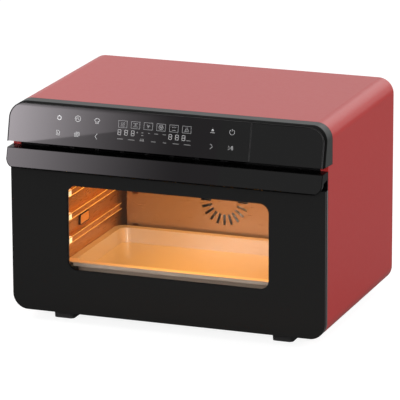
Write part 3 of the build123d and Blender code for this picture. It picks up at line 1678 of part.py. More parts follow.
# Pump behind the sleeve, level with the valve
pump_x = generator_x
pump_z = valve_z
pump_inlet_y = valve_rear + pump_inlet_run
pump_left = pump_x - pump_radius
with BuildPart() as pump:
    rearward(pump_x, pump_front_y, pump_z, pump_radius, pump_length)
    rearward(pump_x, pump_front_y - pump_cap, pump_z, pump_cap_radius, pump_length + 2 * pump_cap)
    foot_start = pump_front_y + pump_foot_start
    block(
        (pump_x - pump_foot_half, foot_start, deck_top),
        (pump_x + pump_foot_half, foot_start + pump_foot_length, pump_z),
    )
    crosswise(pump_left - port_reach, pump_inlet_y, pump_z, pump_port, port_reach + port_root)
    upright(pump_x, pump_outlet_y, pump_z - pump_radius - port_reach, pump_port, port_reach + port_root)
pump.part.label = "pump"

# Steam generator beside the cavity, on two bosses, and its nozzle
generator_top = generator_z + generator_height / 2
generator_inlet_y = generator_y - generator_length / 4
with BuildPart() as steam_generator:
    block(
        (generator_left, generator_y - generator_length / 2, generator_z - generator_height / 2),
        (generator_left + generator_width, generator_y + generator_length / 2, generator_top),
    )
    fillet(steam_generator.edges().filter_by(Axis.X), generator_corner)
    for boss_side in (-1, 1):
        crosswise(liner_side, generator_y + boss_side * generator_length / 3, generator_z,
                  generator_boss_radius, blanket_side - liner_side + generator_stand)
    upright(generator_x, generator_inlet_y, generator_top, pump_port, port_reach)
steam_generator.part.label = "steam_generator"

with BuildPart() as steam_nozzle:
    nozzle_left = cavity_side - nozzle_proud
    crosswise(nozzle_left, generator_y, nozzle_z, nozzle_radius, generator_left - nozzle_left)
    crosswise(nozzle_left, generator_y, nozzle_z, nozzle_flange, nozzle_proud)
    crosswise(nozzle_left - overrun, generator_y, nozzle_z, nozzle_bore,
              generator_left - nozzle_left + 2 * overrun, mode=Mode.SUBTRACT)
steam_nozzle.part.label = "steam_nozzle"

# Hoses from valve to pump and from pump to generator
with BuildPart() as supply_hose:
    with BuildLine() as supply_path:
        FilletPolyline(
            (valve_x, valve_rear, pump_z),
            (valve_x, pump_inlet_y, pump_z),
            (pump_left - port_reach, pump_inlet_y, pump_z),
            radius=hose_bend,
        )
    with BuildSketch(Plane(origin=supply_path.line @ 0, z_dir=supply_path.line % 0)):
        Circle(hose_radius)
    sweep()
supply_hose.part.label = "supply_hose"

hose_turn_z = deck_bottom - 2 * hose_bend
with BuildPart() as feed_hose:
    with BuildLine() as feed_path:
        FilletPolyline(
            (pump_x, pump_outlet_y, pump_z - pump_radius - port_reach),
            (pump_x, pump_outlet_y, hose_turn_z),
            (pump_x, generator_inlet_y, hose_turn_z),
            (pump_x, generator_inlet_y, generator_top + port_reach),
            radius=hose_bend,
        )
    with BuildSketch(Plane(origin=feed_path.line @ 0, z_dir=feed_path.line % 0)):
        Circle(hose_radius)
    sweep()
feed_hose.part.label = "feed_hose"

pieces = [
    outer_casing, bottom_plate, rear_panel, rear_spacers, rear_screws, cord_gland, feet,
    front_frame, door_seal, control_trim, control_glass, display_module, touch_board,
    door_outer_glass, door_frame, door_inner_panel, door_inner_glass, door_screws,
    door_handle, handle_glass, hinge_arms, hinge_pins, hinge_brackets, door_springs,
    cavity_liner, insulation, rack_rail_left, rack_rail_right, baking_tray,
    fan_cover, convection_fan, fan_motor, ring_heater, grill_heater,
    lamp_holder, lamp_cover, temperature_probe, thermal_cutout,
    deck_plate, air_duct, blower_housing, blower_wheel, blower_motor, power_board, mains_filter,
    water_tank, tank_seal_ring, tank_lid, tank_front, tank_front_glass, tank_sleeve, tank_catch,
    tank_valve, pump, steam_generator, steam_nozzle, supply_hose, feed_hose,
]
os.makedirs("parts", exist_ok=True)
for piece in pieces:
    export_step(piece.part, f"parts/{piece.part.label}.step")
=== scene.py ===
# %% [markdown]
# # A countertop steam oven, dressed for its portrait
# The measured model of the oven is loaded first and never moved. Everything that follows
# gives its pieces their finishes, adds the small things that are printed, wound or screwed
# on, and sets up the camera and the studio. All lengths are in metres, with X to the right,
# Y to the rear and Z up, and the oven stands on the floor at Z = 0.

# %% Load the model
import math

import bmesh
import bpy
from mathutils import Matrix, Vector


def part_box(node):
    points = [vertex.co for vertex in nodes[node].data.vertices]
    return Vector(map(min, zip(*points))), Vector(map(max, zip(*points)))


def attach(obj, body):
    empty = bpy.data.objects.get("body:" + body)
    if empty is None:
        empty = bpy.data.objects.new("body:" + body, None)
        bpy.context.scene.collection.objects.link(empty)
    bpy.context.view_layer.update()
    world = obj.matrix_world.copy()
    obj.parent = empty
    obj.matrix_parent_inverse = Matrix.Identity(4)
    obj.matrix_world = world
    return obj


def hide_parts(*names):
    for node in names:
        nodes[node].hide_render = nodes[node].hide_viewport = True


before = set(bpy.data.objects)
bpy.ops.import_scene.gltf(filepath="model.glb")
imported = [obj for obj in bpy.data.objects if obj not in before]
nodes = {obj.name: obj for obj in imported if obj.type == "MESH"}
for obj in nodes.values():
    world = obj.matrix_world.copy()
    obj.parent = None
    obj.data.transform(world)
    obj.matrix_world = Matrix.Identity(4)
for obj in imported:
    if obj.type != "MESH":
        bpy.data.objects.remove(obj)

scene = bpy.context.scene
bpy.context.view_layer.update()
mm = 0.001

# %% [markdown]
# ## The camera
# The photograph was taken from far off with a long lens: the oven's edges hardly converge.
# Its place was worked out from the corners of the casing. A camera that stands about five
# and a half metres away, with a 327 mm lens, gives the same lines, so both go in as plain
# numbers.

# %% Camera
camera_place = Vector((1.8663, -5.0195, 1.6458))
camera_pan = math.radians(20.449)
camera_tilt = math.radians(15.443)
camera_roll = math.radians(-0.25)

camera_data = bpy.data.cameras.new("portrait_camera")
camera_data.lens = 326.9
camera_data.sensor_width = 36.0
camera_data.clip_end = 50.0
camera = bpy.data.objects.new("portrait_camera", camera_data)
scene.collection.objects.link(camera)
camera.location = camera_place
camera.rotation_euler = (
    Matrix.Rotation(camera_pan, 3, "Z")
    @ Matrix.Rotation(math.pi / 2 - camera_tilt, 3, "X")
    @ Matrix.Rotation(camera_roll, 3, "Z")
).to_euler()
scene.camera = camera
print("camera at", [round(v, 3) for v in camera.location])

# %% [markdown]
# ## Small tools for making materials
# A finish is a tree of nodes that ends in one main shader. A few short helpers keep each
# tree readable: one feeds a socket with a value or with another socket, one adds a node, and
# one finds an input of the main shader. Patterns read Object coordinates, so they stay where
# they are when a piece moves.

# %% Nodes and sockets
def feed(socket, value):
    """Links another socket to this one, or sets it to a plain value."""
    if isinstance(value, bpy.types.NodeSocket):
        socket.id_data.links.new(value, socket)
    else:
        socket.default_value = value


def add_node(owner, kind, **inputs):
    """Adds a node to a material, world or tree, and feeds its inputs or sets its options."""
    made = getattr(owner, "node_tree", owner).nodes.new(kind)
    for name, value in inputs.items():
        label = name.replace("_", " ")
        if label in made.inputs:
            feed(made.inputs[label], value)
        else:
            setattr(made, name, value)
    return made


def math_node(owner, operation, first, second):
    """Result of an operation on two inputs, each a socket or a number."""
    made = add_node(owner, "ShaderNodeMath", operation=operation)
    feed(made.inputs[0], first)
    feed(made.inputs[1], second)
    return made.outputs[0]


def shader_input(finish, name):
    """Input of a finish's main shader."""
    return finish.node_tree.nodes["Principled BSDF"].inputs[name]


def new_finish(name, color, roughness, metallic=0.0, specular=0.5):
    """Material with one main shader."""
    finish = bpy.data.materials.new(name)
    finish.use_nodes = True
    feed(shader_input(finish, "Base Color"), (*color, 1.0))
    feed(shader_input(finish, "Roughness"), roughness)
    feed(shader_input(finish, "Metallic"), metallic)
    feed(shader_input(finish, "Specular IOR Level"), specular)
    return finish


def grey(tone):
    """Colour with the same red, green and blue."""
    return (tone, tone, tone)


print("node helpers ready")

# %% Patterns for colour, roughness and relief
def object_place(finish, stretch=(1.0, 1.0, 1.0)):
    """Object coordinates, stretched along each axis."""
    place = add_node(finish, "ShaderNodeTexCoord").outputs["Object"]
    return add_node(finish, "ShaderNodeMapping", Vector=place, Scale=stretch).outputs["Vector"]


def axes(finish):
    """Object coordinates as three separate sockets: X, Y and Z."""
    place = add_node(finish, "ShaderNodeTexCoord").outputs["Object"]
    return add_node(finish, "ShaderNodeSeparateXYZ", Vector=place).outputs


def noise(finish, size, detail=3.0, stretch=(1.0, 1.0, 1.0)):
    """Noise whose grains are about a size across, in metres."""
    made = add_node(finish, "ShaderNodeTexNoise", Vector=object_place(finish, stretch),
                    Scale=1.0 / size, Detail=detail)
    return made.outputs["Fac"]


def ranged(owner, source, start, stop, low, high):
    """Value that runs from low to high while a source runs from start to stop."""
    made = add_node(owner, "ShaderNodeMapRange", Value=source, From_Min=start, From_Max=stop,
                    To_Min=low, To_Max=high)
    return made.outputs["Result"]


def mixed(finish, factor, first, second):
    """Mix of two colours, each a tone or a socket."""
    made = add_node(finish, "ShaderNodeMix", data_type="RGBA", Factor=factor)
    for socket, value in zip(made.inputs[6:8], (first, second)):
        feed(socket, (*value, 1.0) if isinstance(value, tuple) else value)
    return made.outputs[2]


def vary(finish, source, low, high):
    """Varies the roughness between two values by a pattern."""
    feed(shader_input(finish, "Roughness"), ranged(finish, source, 0.3, 0.7, low, high))


def tint(finish, source, dark, light):
    """Colours the surface between two tones by a pattern."""
    feed(shader_input(finish, "Base Color"), mixed(finish, source, dark, light))


def emboss(finish, source, height, strength=0.3):
    """Raises the surface by a pattern, to a height in metres."""
    bump = add_node(finish, "ShaderNodeBump", Height=source, Strength=strength, Distance=height)
    feed(shader_input(finish, "Normal"), bump.outputs["Normal"])


print("pattern helpers ready")

# %% [markdown]
# ## Painted, moulded and glazed finishes of the outside
# The wrap is sprayed sheet steel: a satin red with a very slight orange peel. The door's
# frame is moulded in a spark-eroded tool, which leaves a fine grain that catches the light,
# and the handle's lip in a smoother one. The fronts are black printed glass: almost no
# colour of their own, so what they mirror matters.

# %% Outside finishes
paint = new_finish("red_enamel", (0.46, 0.02, 0.018), 0.34, specular=0.35)
vary(paint, noise(paint, 0.006, 2.0), 0.33, 0.35)
emboss(paint, noise(paint, 0.0016, 2.0), 0.00003, 0.08)

frame_moulding = new_finish("black_moulding", grey(0.004), 0.45, specular=0.08)
vary(frame_moulding, noise(frame_moulding, 0.004), 0.4, 0.5)
emboss(frame_moulding, noise(frame_moulding, 0.0009), 0.00004, 0.2)

gloss_black = new_finish("gloss_black_moulding", grey(0.0015), 0.25, specular=0.05)
vary(gloss_black, noise(gloss_black, 0.01), 0.22, 0.3)

black_glass = new_finish("black_glass", (0.0012, 0.0012, 0.0013), 0.02, specular=0.21)
vary(black_glass, noise(black_glass, 0.03), 0.016, 0.024)

rubber = new_finish("foot_rubber", grey(0.016), 0.75, specular=0.3)
tint(rubber, noise(rubber, 0.003), grey(0.012), grey(0.022))
emboss(rubber, noise(rubber, 0.0008), 0.00008, 0.3)
print("outside finishes made")

# %% [markdown]
# ## The door's glass and its clear window
# The pane is one sheet of glass with black printed on its back, all but a rounded window.
# The print is a mask in the material: the distance from each point to a rounded rectangle,
# worked out from its Object coordinates, switches the glass from opaque to clear.

# %% Mask of a rounded rectangle
# Half a size that runs right through any piece, so that it sets no edge along its axis
through = 1.0


def rounded_distance(finish, middle, half, corner):
    """Distance from a rounded rectangle's corner circles, with no edge where half is through."""
    steps = [add_node(finish, "ShaderNodeVectorMath", operation=name)
             for name in ("SUBTRACT", "ABSOLUTE", "SUBTRACT", "MAXIMUM", "LENGTH")]
    feed(steps[0].inputs[0], add_node(finish, "ShaderNodeTexCoord").outputs["Object"])
    feed(steps[0].inputs[1], middle)
    feed(steps[2].inputs[1], half - Vector([corner if v < through else 0.0 for v in half]))
    for source, target in zip(steps, steps[1:]):
        feed(target.inputs[0], source.outputs[0])
    return steps[-1].outputs["Value"]


def switch(finish, source, edge, soft, low, high):
    """Value that changes from low to high where a source passes an edge."""
    return ranged(finish, source, edge - soft, edge + soft, low, high)


print("mask helpers ready")

# %% Door glass
window_middle = Vector((1.5 * mm, 0.0, 150.0 * mm))
window_half = Vector((160.5 * mm, through, 66.0 * mm))
window_corner = 15.0 * mm
print_edge = 0.3 * mm
clear_alpha = 0.05

door_glass = new_finish("door_glass", grey(0.013), 0.08, specular=0.2)
vary(door_glass, noise(door_glass, 0.03), 0.06, 0.1)
beyond = rounded_distance(door_glass, window_middle, window_half, window_corner)
printed = switch(door_glass, beyond, window_corner, print_edge, clear_alpha, 1.0)
feed(shader_input(door_glass, "Alpha"), printed)

clear_glass = new_finish("clear_glass", (0.3, 0.27, 0.22), 0.06, specular=0.2)
feed(shader_input(clear_glass, "Alpha"), 0.03)
vary(clear_glass, noise(clear_glass, 0.04), 0.04, 0.09)
print("window", round(2 * window_half.x / mm), "by", round(2 * window_half.z / mm), "mm")

# %% [markdown]
# ## The cap with painted shade round the glass
# The cap round the control panel is a grained grey moulding. A nearly black band round the glass,
# which barely shines, is painted shade where the glass sits down in the cap. Both are one piece
# here, so the border between them is a mask again: how far a point lies behind the leaning face,
# measured along that face's normal.

# %% Cap with a painted shade band
panel_lean = math.atan2(14.0, 58.5)
panel_out = Vector((0.0, -math.cos(panel_lean), math.sin(panel_lean)))
cap_foot = Vector((0.0, -171.5 * mm, 280.5 * mm))
cap_shade_depth = 10.5 * mm
shade_band_edge = cap_foot.dot(-panel_out) + cap_shade_depth
shade_band_soft = 0.3 * mm

moulding = new_finish("grained_moulding", (0.032, 0.034, 0.033), 0.42, specular=0.45)
depth = add_node(moulding, "ShaderNodeVectorMath", operation="DOT_PRODUCT")
feed(depth.inputs[0], add_node(moulding, "ShaderNodeTexCoord").outputs["Object"])
feed(depth.inputs[1], -panel_out)
depth = depth.outputs["Value"]
# Painted shade: the front band of the cap is nearly black and barely shines
tint(moulding, switch(moulding, depth, shade_band_edge, shade_band_soft, 0.0, 1.0), grey(0.003), (0.022, 0.023, 0.022))
feed(shader_input(moulding, "Specular IOR Level"), switch(moulding, depth, shade_band_edge, shade_band_soft, 0.004, 0.2))
emboss(moulding, noise(moulding, 0.0007), 0.00005, 0.2)
print("cap rim", round(cap_shade_depth / mm, 1), "mm deep")

# %% [markdown]
# ## Sheet metals
# Stainless sheet is rolled and brushed: long streaks along one direction. A noise pattern
# stretched twentyfold gives the streaks, and it drives the roughness more than the colour.
# The chassis plates are zinc coated, with the soft patchwork of zinc crystals.

# %% Brushed steels
along_x, along_y, along_z = (0.05, 1.0, 1.0), (1.0, 0.05, 1.0), (1.0, 1.0, 0.05)


def brushed(name, dark, light, roughness, stretch, metallic=1.0, grain=0.25):
    """Brushed sheet with streaks along the axis whose stretch is small."""
    finish = new_finish(name, light, roughness, metallic=metallic)
    streaks = noise(finish, 0.0012, 4.0, stretch)
    tint(finish, streaks, dark, light)
    vary(finish, streaks, roughness - 0.07, roughness + 0.07)
    emboss(finish, streaks, 0.00003, grain)
    return finish


# The orange-brown of the liner, the fan cover and the rails is painted warm lamp light on stainless steel
cavity_steel = brushed("cavity_steel", (0.33, 0.155, 0.054), (0.36, 0.172, 0.062), 0.36, along_y, 0.7, 0.08)
cover_steel = brushed("cover_steel", (0.34, 0.22, 0.13), (0.39, 0.26, 0.155), 0.34, along_x, 0.75)
# The beads' light cream tone is a painted highlight on the rails' creases
glint_bead_steel = brushed("glint_bead_steel", (0.85, 0.62, 0.3), (0.95, 0.72, 0.38), 0.3, along_y, 0.4)
tray_steel = brushed("tray_steel", (0.52, 0.44, 0.36), (0.6, 0.52, 0.44), 0.36, along_x, 0.45)
rail_steel = brushed("rail_steel", (0.42, 0.2, 0.07), (0.46, 0.225, 0.082), 0.32, along_y, 0.65, 0.06)
hinge_steel = brushed("hinge_steel", (0.42, 0.42, 0.41), (0.56, 0.56, 0.55), 0.34, along_y)
can_steel = brushed("can_steel", grey(0.36), grey(0.5), 0.36, along_z)
fan_sheet = brushed("fan_sheet", grey(0.52), grey(0.66), 0.32, along_x)
print("brushed steels made")

# %% Coated, blackened and cast metals
zinc = new_finish("zinc_sheet", (0.4, 0.41, 0.42), 0.45, metallic=0.85)
spangle = add_node(zinc, "ShaderNodeTexVoronoi", Vector=object_place(zinc), Scale=140.0)
tint(zinc, spangle.outputs["Distance"], (0.34, 0.35, 0.36), (0.5, 0.51, 0.52))
vary(zinc, spangle.outputs["Distance"], 0.36, 0.5)

black_steel = new_finish("black_steel", grey(0.003), 0.55, specular=0.06)
vary(black_steel, noise(black_steel, 0.01), 0.5, 0.62)
emboss(black_steel, noise(black_steel, 0.001), 0.00004, 0.2)

panel_enamel = new_finish("panel_enamel", grey(0.13), 0.4, specular=0.4)
tint(panel_enamel, noise(panel_enamel, 0.02), grey(0.12), grey(0.145))
emboss(panel_enamel, noise(panel_enamel, 0.002), 0.00003, 0.15)

heat_oxide = new_finish("heat_darkened_tube", (0.12, 0.1, 0.09), 0.42, metallic=0.9)
tint(heat_oxide, noise(heat_oxide, 0.008), (0.08, 0.065, 0.06), (0.19, 0.155, 0.13))
emboss(heat_oxide, noise(heat_oxide, 0.0009), 0.00005, 0.25)

castings = new_finish("cast_aluminium", (0.5, 0.5, 0.51), 0.55, metallic=0.9)
tint(castings, noise(castings, 0.003), (0.42, 0.42, 0.43), (0.58, 0.58, 0.59))
emboss(castings, noise(castings, 0.0012), 0.00015, 0.4)
print("other metals made")

# %% [markdown]
# ## Painted light on the tray's rim and the rails' ends
# The tray's front rim and the front ends of the rack rails' ribs stand close behind the
# window and shine brighter than the steel round them, and that brightness is painted: a
# lighter second tone is laid over the first where Object coordinates say that a point belongs
# to a rim or an end. The ends also glow, in place of the strong light that a real oven's lamp
# throws on them.

# %% Painted highlight on the tray's rim
def overlay(finish, factor, tone):
    """Lays a tone over a finish's colour where a factor is 1."""
    colour = shader_input(finish, "Base Color")
    feed(colour, mixed(finish, factor, colour.links[0].from_socket, tone))


rim_depth, rim_fade = 20.0 * mm, 2.0 * mm
rim_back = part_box("baking_tray")[0].y + rim_depth
rim_highlight = switch(tray_steel, axes(tray_steel)["Y"], rim_back, rim_fade, 1.0, 0.0)
# Painted highlight: a light tone on the tray's front rim
overlay(tray_steel, rim_highlight, (0.86, 0.7, 0.56))
print("tray rim", round(rim_depth / mm), "mm deep")

# %% Painted glints on the front ends of the rails
rib_low, rib_pitch = 82.2 * mm, 36.9 * mm
rib_half = 5.2 * mm
rib_share, share_soft = rib_half / rib_pitch, 0.01
rib_front = -131.4 * mm
glint_length = 15.0 * mm
lowest_glint = 100.0 * mm
end_soft = 0.4 * mm
end_glow = 0.8

place = axes(rail_steel)
counted = math_node(rail_steel, "DIVIDE", math_node(rail_steel, "SUBTRACT", place["Z"], rib_low), rib_pitch)
off_rib = math_node(rail_steel, "PINGPONG", counted, 0.5)
on_rib = switch(rail_steel, off_rib, rib_share, share_soft, 1.0, 0.0)
on_front = switch(rail_steel, place["Y"], rib_front + glint_length, end_soft, 1.0, 0.0)
high_up = switch(rail_steel, place["Z"], lowest_glint, end_soft, 0.0, 1.0)
end_glint = math_node(rail_steel, "MULTIPLY", math_node(rail_steel, "MULTIPLY", on_rib, on_front), high_up)
# Painted glints: a light tone and a glow on the ribs' front ends, standing for lamp light
overlay(rail_steel, end_glint, (0.95, 0.85, 0.6))
feed(shader_input(rail_steel, "Emission Color"), (1.0, 0.86, 0.55, 1.0))
feed(shader_input(rail_steel, "Emission Strength"), math_node(rail_steel, "MULTIPLY", end_glint, end_glow))
print("rails every", round(rib_pitch / mm, 1), "mm")

# %% [markdown]
# ## The lamp cover
# A pressed glass plate in a dark frame covers the oven's lamp. The plate is one piece, so
# the frame is drawn along its edge, with the mask of a rounded rectangle.

# %% Lamp cover in its dark frame
plate_low, plate_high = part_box("lamp_cover")
plate_half = (plate_high - plate_low) / 2
plate_half.x = through
plate_corner = 3.0 * mm
plate_frame = 1.8 * mm

lamp_glass = new_finish("lamp_glass", (0.5, 0.24, 0.08), 0.25)
beyond = rounded_distance(lamp_glass, (plate_low + plate_high) / 2, plate_half, plate_corner)
framed = switch(lamp_glass, beyond, plate_corner - plate_frame, print_edge, 0.0, 1.0)
tint(lamp_glass, framed, (0.5, 0.24, 0.08), (0.03, 0.015, 0.006))
emboss(lamp_glass, noise(lamp_glass, 0.003), 0.0002, 0.3)
print("lamp cover framed")

# %% [markdown]
# ## Plastics, silicone, wool and boards
# These are the finishes of the working parts that show when the tank is drawn out, the door
# is open or the oven is seen from below and behind. One helper makes the plastics, the
# silicone and the ceramic: two close tones and a fine grain. Wool and circuit boards have
# patterns of their own.

# %% Other finishes
def moulded(name, dark, light, roughness, alpha=1.0):
    """Plastic, silicone or ceramic with a fine grain between two tones."""
    finish = new_finish(name, light, roughness, specular=0.45)
    tint(finish, noise(finish, 0.002), dark, light)
    emboss(finish, noise(finish, 0.0009), 0.00004, 0.2)
    feed(shader_input(finish, "Alpha"), alpha)
    return finish


grey_plastic = moulded("grey_plastic", (0.17, 0.17, 0.175), (0.22, 0.22, 0.225), 0.5)
black_plastic = moulded("black_plastic", (0.008, 0.008, 0.009), (0.014, 0.014, 0.015), 0.55)
tank_plastic = moulded("tank_plastic", (0.62, 0.68, 0.7), (0.72, 0.78, 0.8), 0.14, 0.38)
ceramic = moulded("glazed_ceramic", (0.7, 0.67, 0.6), (0.8, 0.78, 0.72), 0.25)
seal_silicone = moulded("seal_silicone", (0.035, 0.035, 0.036), (0.05, 0.05, 0.052), 0.6)
hose_silicone = moulded("hose_silicone", (0.62, 0.62, 0.6), (0.72, 0.72, 0.7), 0.4, 0.75)

wool = new_finish("mineral_wool", (0.6, 0.55, 0.42), 0.95, specular=0.1)
fibres = noise(wool, 0.003, 8.0, (1.0, 0.2, 1.0))
tint(wool, fibres, (0.45, 0.4, 0.29), (0.72, 0.67, 0.54))
emboss(wool, fibres, 0.001, 0.6)

board = new_finish("circuit_board", (0.02, 0.12, 0.05), 0.4)
tracks = add_node(board, "ShaderNodeTexBrick", Vector=object_place(board, (1.0, 1.0, 0.2)), Scale=60.0,
                  Color1=(0.015, 0.1, 0.04, 1.0), Color2=(0.02, 0.13, 0.05, 1.0),
                  Mortar=(0.08, 0.24, 0.1, 1.0))
feed(shader_input(board, "Base Color"), tracks.outputs["Color"])
print("other finishes made")

# %% [markdown]
# ## Dressing the model's own pieces
# Most pieces have the right shape already and only need their finish, so each node is given
# one here. The list is grouped by finish, which also shows what the oven is made of.

# %% Give each node its finish
finishes = (
    (paint, ["outer_casing"]),
    (moulding, ["control_trim"]),
    (frame_moulding, ["door_frame", "door_handle", "tank_front", "rear_spacers", "cord_gland"]),
    (black_glass, ["control_glass", "tank_front_glass", "handle_glass"]),
    (door_glass, ["door_outer_glass"]),
    (clear_glass, ["door_inner_glass"]),
    (lamp_glass, ["lamp_cover"]),
    (panel_enamel, ["door_inner_panel"]),
    (cavity_steel, ["cavity_liner"]),
    (cover_steel, ["fan_cover"]),
    (rail_steel, ["rack_rail_left", "rack_rail_right"]),
    (tray_steel, ["baking_tray"]),
    (zinc, ["bottom_plate", "rear_panel", "deck_plate"]),
    (black_steel, ["front_frame"]),
    (hinge_steel, ["hinge_arms", "hinge_pins", "hinge_brackets"]),
    (can_steel, ["fan_motor", "blower_motor", "pump", "mains_filter", "temperature_probe",
                 "thermal_cutout", "steam_nozzle", "rear_screws", "door_screws", "door_springs"]),
    (fan_sheet, ["convection_fan"]),
    (heat_oxide, ["ring_heater", "grill_heater"]),
    (castings, ["steam_generator"]),
    (rubber, ["feet"]),
    (seal_silicone, ["door_seal", "tank_seal"]),
    (hose_silicone, ["supply_hose", "feed_hose"]),
    (wool, ["insulation"]),
    (grey_plastic, ["blower_housing", "tank_sleeve", "tank_catch"]),
    (black_plastic, ["air_duct", "blower_wheel", "tank_valve"]),
    (ceramic, ["lamp_holder"]),
    (board, ["power_board", "touch_board", "display_module"]),
    (tank_plastic, ["water_tank", "tank_lid"]),
)


def dress(piece, finish):
    """Gives a piece one material."""
    piece.data.materials.clear()
    piece.data.materials.append(finish)


for finish, names in finishes:
    for name in names:
        dress(nodes[name], finish)
print("nodes dressed:", sum(len(names) for _, names in finishes), "of", len(nodes))

# %% [markdown]
# ## Marks printed on the control glass
# The keys are printed lines. Each is drawn as a few strokes in a flat drawing, in
# millimetres, and a Geometry Nodes tree turns every stroke into a thin flat band: Curve to
# Mesh runs a narrow rectangle along it. The drawing is then laid on the leaning glass.

# %% Tree that turns strokes into printed bands
def new_tree(name, **inputs):
    """Geometry Nodes tree with named inputs; gives back the tree and its input sockets."""
    tree = bpy.data.node_groups.new(name, "GeometryNodeTree")
    for label, kind in {"Geometry": "Geometry", **inputs}.items():
        label = label.replace("_", " ")
        tree.interface.new_socket(label, in_out="INPUT", socket_type="NodeSocket" + kind)
    tree.interface.new_socket("Geometry", in_out="OUTPUT", socket_type="NodeSocketGeometry")
    return tree, tree.nodes.new("NodeGroupInput").outputs


def end_tree(tree, shape, finish):
    """Makes copies real, sets their material and leads them out of the tree."""
    real = add_node(tree, "GeometryNodeRealizeInstances", Geometry=shape)
    coloured = add_node(tree, "GeometryNodeSetMaterial", Geometry=real.outputs[0], Material=finish)
    add_node(tree, "NodeGroupOutput", Geometry=coloured.outputs[0])
    return tree


def stroke_tree():
    """Geometry Nodes: a flat band of a width and a thickness along each curve."""
    tree, given = new_tree("printed_strokes", Line_Width="Float", Ink_Thickness="Float", Ink="Material")
    upright = add_node(tree, "GeometryNodeSetCurveNormal", mode="Z_UP", Curve=given["Geometry"])
    profile = add_node(tree, "GeometryNodeCurvePrimitiveQuadrilateral",
                       Width=given["Line Width"], Height=given["Ink Thickness"])
    band = add_node(tree, "GeometryNodeCurveToMesh", Curve=upright.outputs[0],
                    Profile_Curve=profile.outputs[0], Fill_Caps=True)
    return end_tree(tree, band.outputs[0], given["Ink"])


printed_strokes = stroke_tree()
print("stroke tree with", len(printed_strokes.nodes), "nodes")

# %% [markdown]
# ## From a tree to a plain piece
# A modifier's inputs are set by each socket's identifier. The evaluated object is then
# turned into a plain mesh, which is moved to its place, and the modifier goes with the
# helper object. What stays is an ordinary mesh object that sits at the origin.

# %% Helpers for finished pieces
def grown_mesh(helper, tree, values, place=Matrix.Identity(4)):
    """Mesh that a tree makes from a helper object, moved to its place."""
    modifier = helper.modifiers.new(tree.name, "NODES")
    modifier.node_group = tree
    sockets = {item.name: item.identifier for item in tree.interface.items_tree}
    for name, value in values.items():
        modifier[sockets[name]] = value
    scene.collection.objects.link(helper)
    bpy.context.view_layer.update()
    seen = helper.evaluated_get(bpy.context.evaluated_depsgraph_get())
    mesh = bpy.data.meshes.new_from_object(seen)
    mesh.transform(place)
    bpy.data.objects.remove(helper)
    return mesh


def new_piece(name, mesh, body, finish, smooth=False):
    """Object for a finished mesh, riding on its body."""
    piece = bpy.data.objects.new(name, mesh)
    scene.collection.objects.link(piece)
    mesh.name = name
    if smooth:
        mesh.shade_smooth()
    dress(piece, finish)
    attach(piece, body)
    print(name, len(mesh.polygons), "faces")
    return piece


def stroke_curve(name, strokes):
    """Helper curve with one straight-sided spline for each stroke, in millimetres."""
    curve = bpy.data.curves.new(name, "CURVE")
    curve.dimensions = "3D"
    for points, closed in strokes:
        spline = curve.splines.new("POLY")
        spline.points.add(len(points) - 1)
        for made, point in zip(spline.points, points):
            made.co = (*(Vector(point) * mm).to_3d(), 1.0)
        spline.use_cyclic_u = closed
    return bpy.data.objects.new(name, curve)


print("piece helpers ready")

# %% [markdown]
# ## Drawing the keys
# Every mark is a list of strokes: open lines, closed rings and arcs. They are generic signs
# that many appliances share, such as a power ring, a play and pause sign, arrows, a page, a
# clock and a drop, and the marks for the ways of cooking sit in six small frames.

# %% Strokes of the keys
def arc(radius, start=0.0, end=360.0, x=0.0, y=0.0, steps=18):
    """Points on an arc, in degrees from the right, counter-clockwise."""
    turns = [math.radians(start + (end - start) * step / steps) for step in range(steps + 1)]
    return [(x + radius * math.cos(turn), y + radius * math.sin(turn)) for turn in turns]


def ring(radius, x=0.0, y=0.0):
    """Closed circle."""
    return (arc(radius, 0.0, 340.0, x, y, 17), True)


def line(*points):
    """Open line through its points."""
    return (list(points), False)


def level(half, height=0.0):
    """Level line of a half length, at a height."""
    return line((-half, height), (half, height))


def frame_of(width, height, x=0.0, y=0.0):
    """Closed rectangle about a middle."""
    a, b = width / 2, height / 2
    return ([(x - a, y - b), (x + a, y - b), (x + a, y + b), (x - a, y + b)], True)


light_mark = [ring(3.2, 0, -0.9), ring(2.5, 0, -0.9), line((-1.2, 2.0), (0, 3.2), (1.2, 2.0))]
clock_mark = [ring(4.3), line((0, 2.6), (0, 0), (2.1, -1.2)), line((-2.2, 1.4), (-2.2, -1.6))]
hat_mark = [(arc(1.9, 250, 60, -2.0, 1.3, 10), False), (arc(2.0, 160, 20, 0, 2.1, 10), False),
            (arc(1.9, 120, -70, 2.0, 1.3, 10), False),
            frame_of(4.4, 2.0, 0, -2.6), line((-2.2, 0), (-2.2, -2)), line((2.2, 0), (2.2, -2))]
page_mark = [([(-2.6, -3.4), (2.6, -3.4), (2.6, 1.4), (0.8, 3.4), (-2.6, 3.4)], True),
             line((-1.2, 1.4), (-1.2, -2.2)), line((0.6, -0.6), (0.6, -2.2))]
pages_mark = [frame_of(5.8, 5.0, -0.8, -0.8), line((-1.8, 3.2), (3.8, 3.2), (3.8, -2.0)),
              line((-2.6, 0.0), (0.8, 0.6)), line((-2.6, -1.8), (0.8, -1.2))]
back_mark = [line((1.5, 4.0), (-1.7, 0), (1.5, -4.0))]
next_mark = [line((-1.9, 3.7), (1.9, 0), (-1.9, -3.7))]
drop_mark = [(arc(1.5, -60, 240, 0, -0.6, 12) + [(0, 3.8)], True), level(3.6, -3.8),
             line((0, 1.2), (0, -1.0))]
power_mark = [(arc(3.9, 122, 418, 0, -0.3), False), line((0, 0.8), (0, 4.4))]
play_mark = [([(-3.4, 3.0), (0.0, 0), (-3.4, -3.0)], True), line((1.4, 3.0), (1.4, -3.0)),
             line((3.3, 3.0), (3.3, -3.0))]

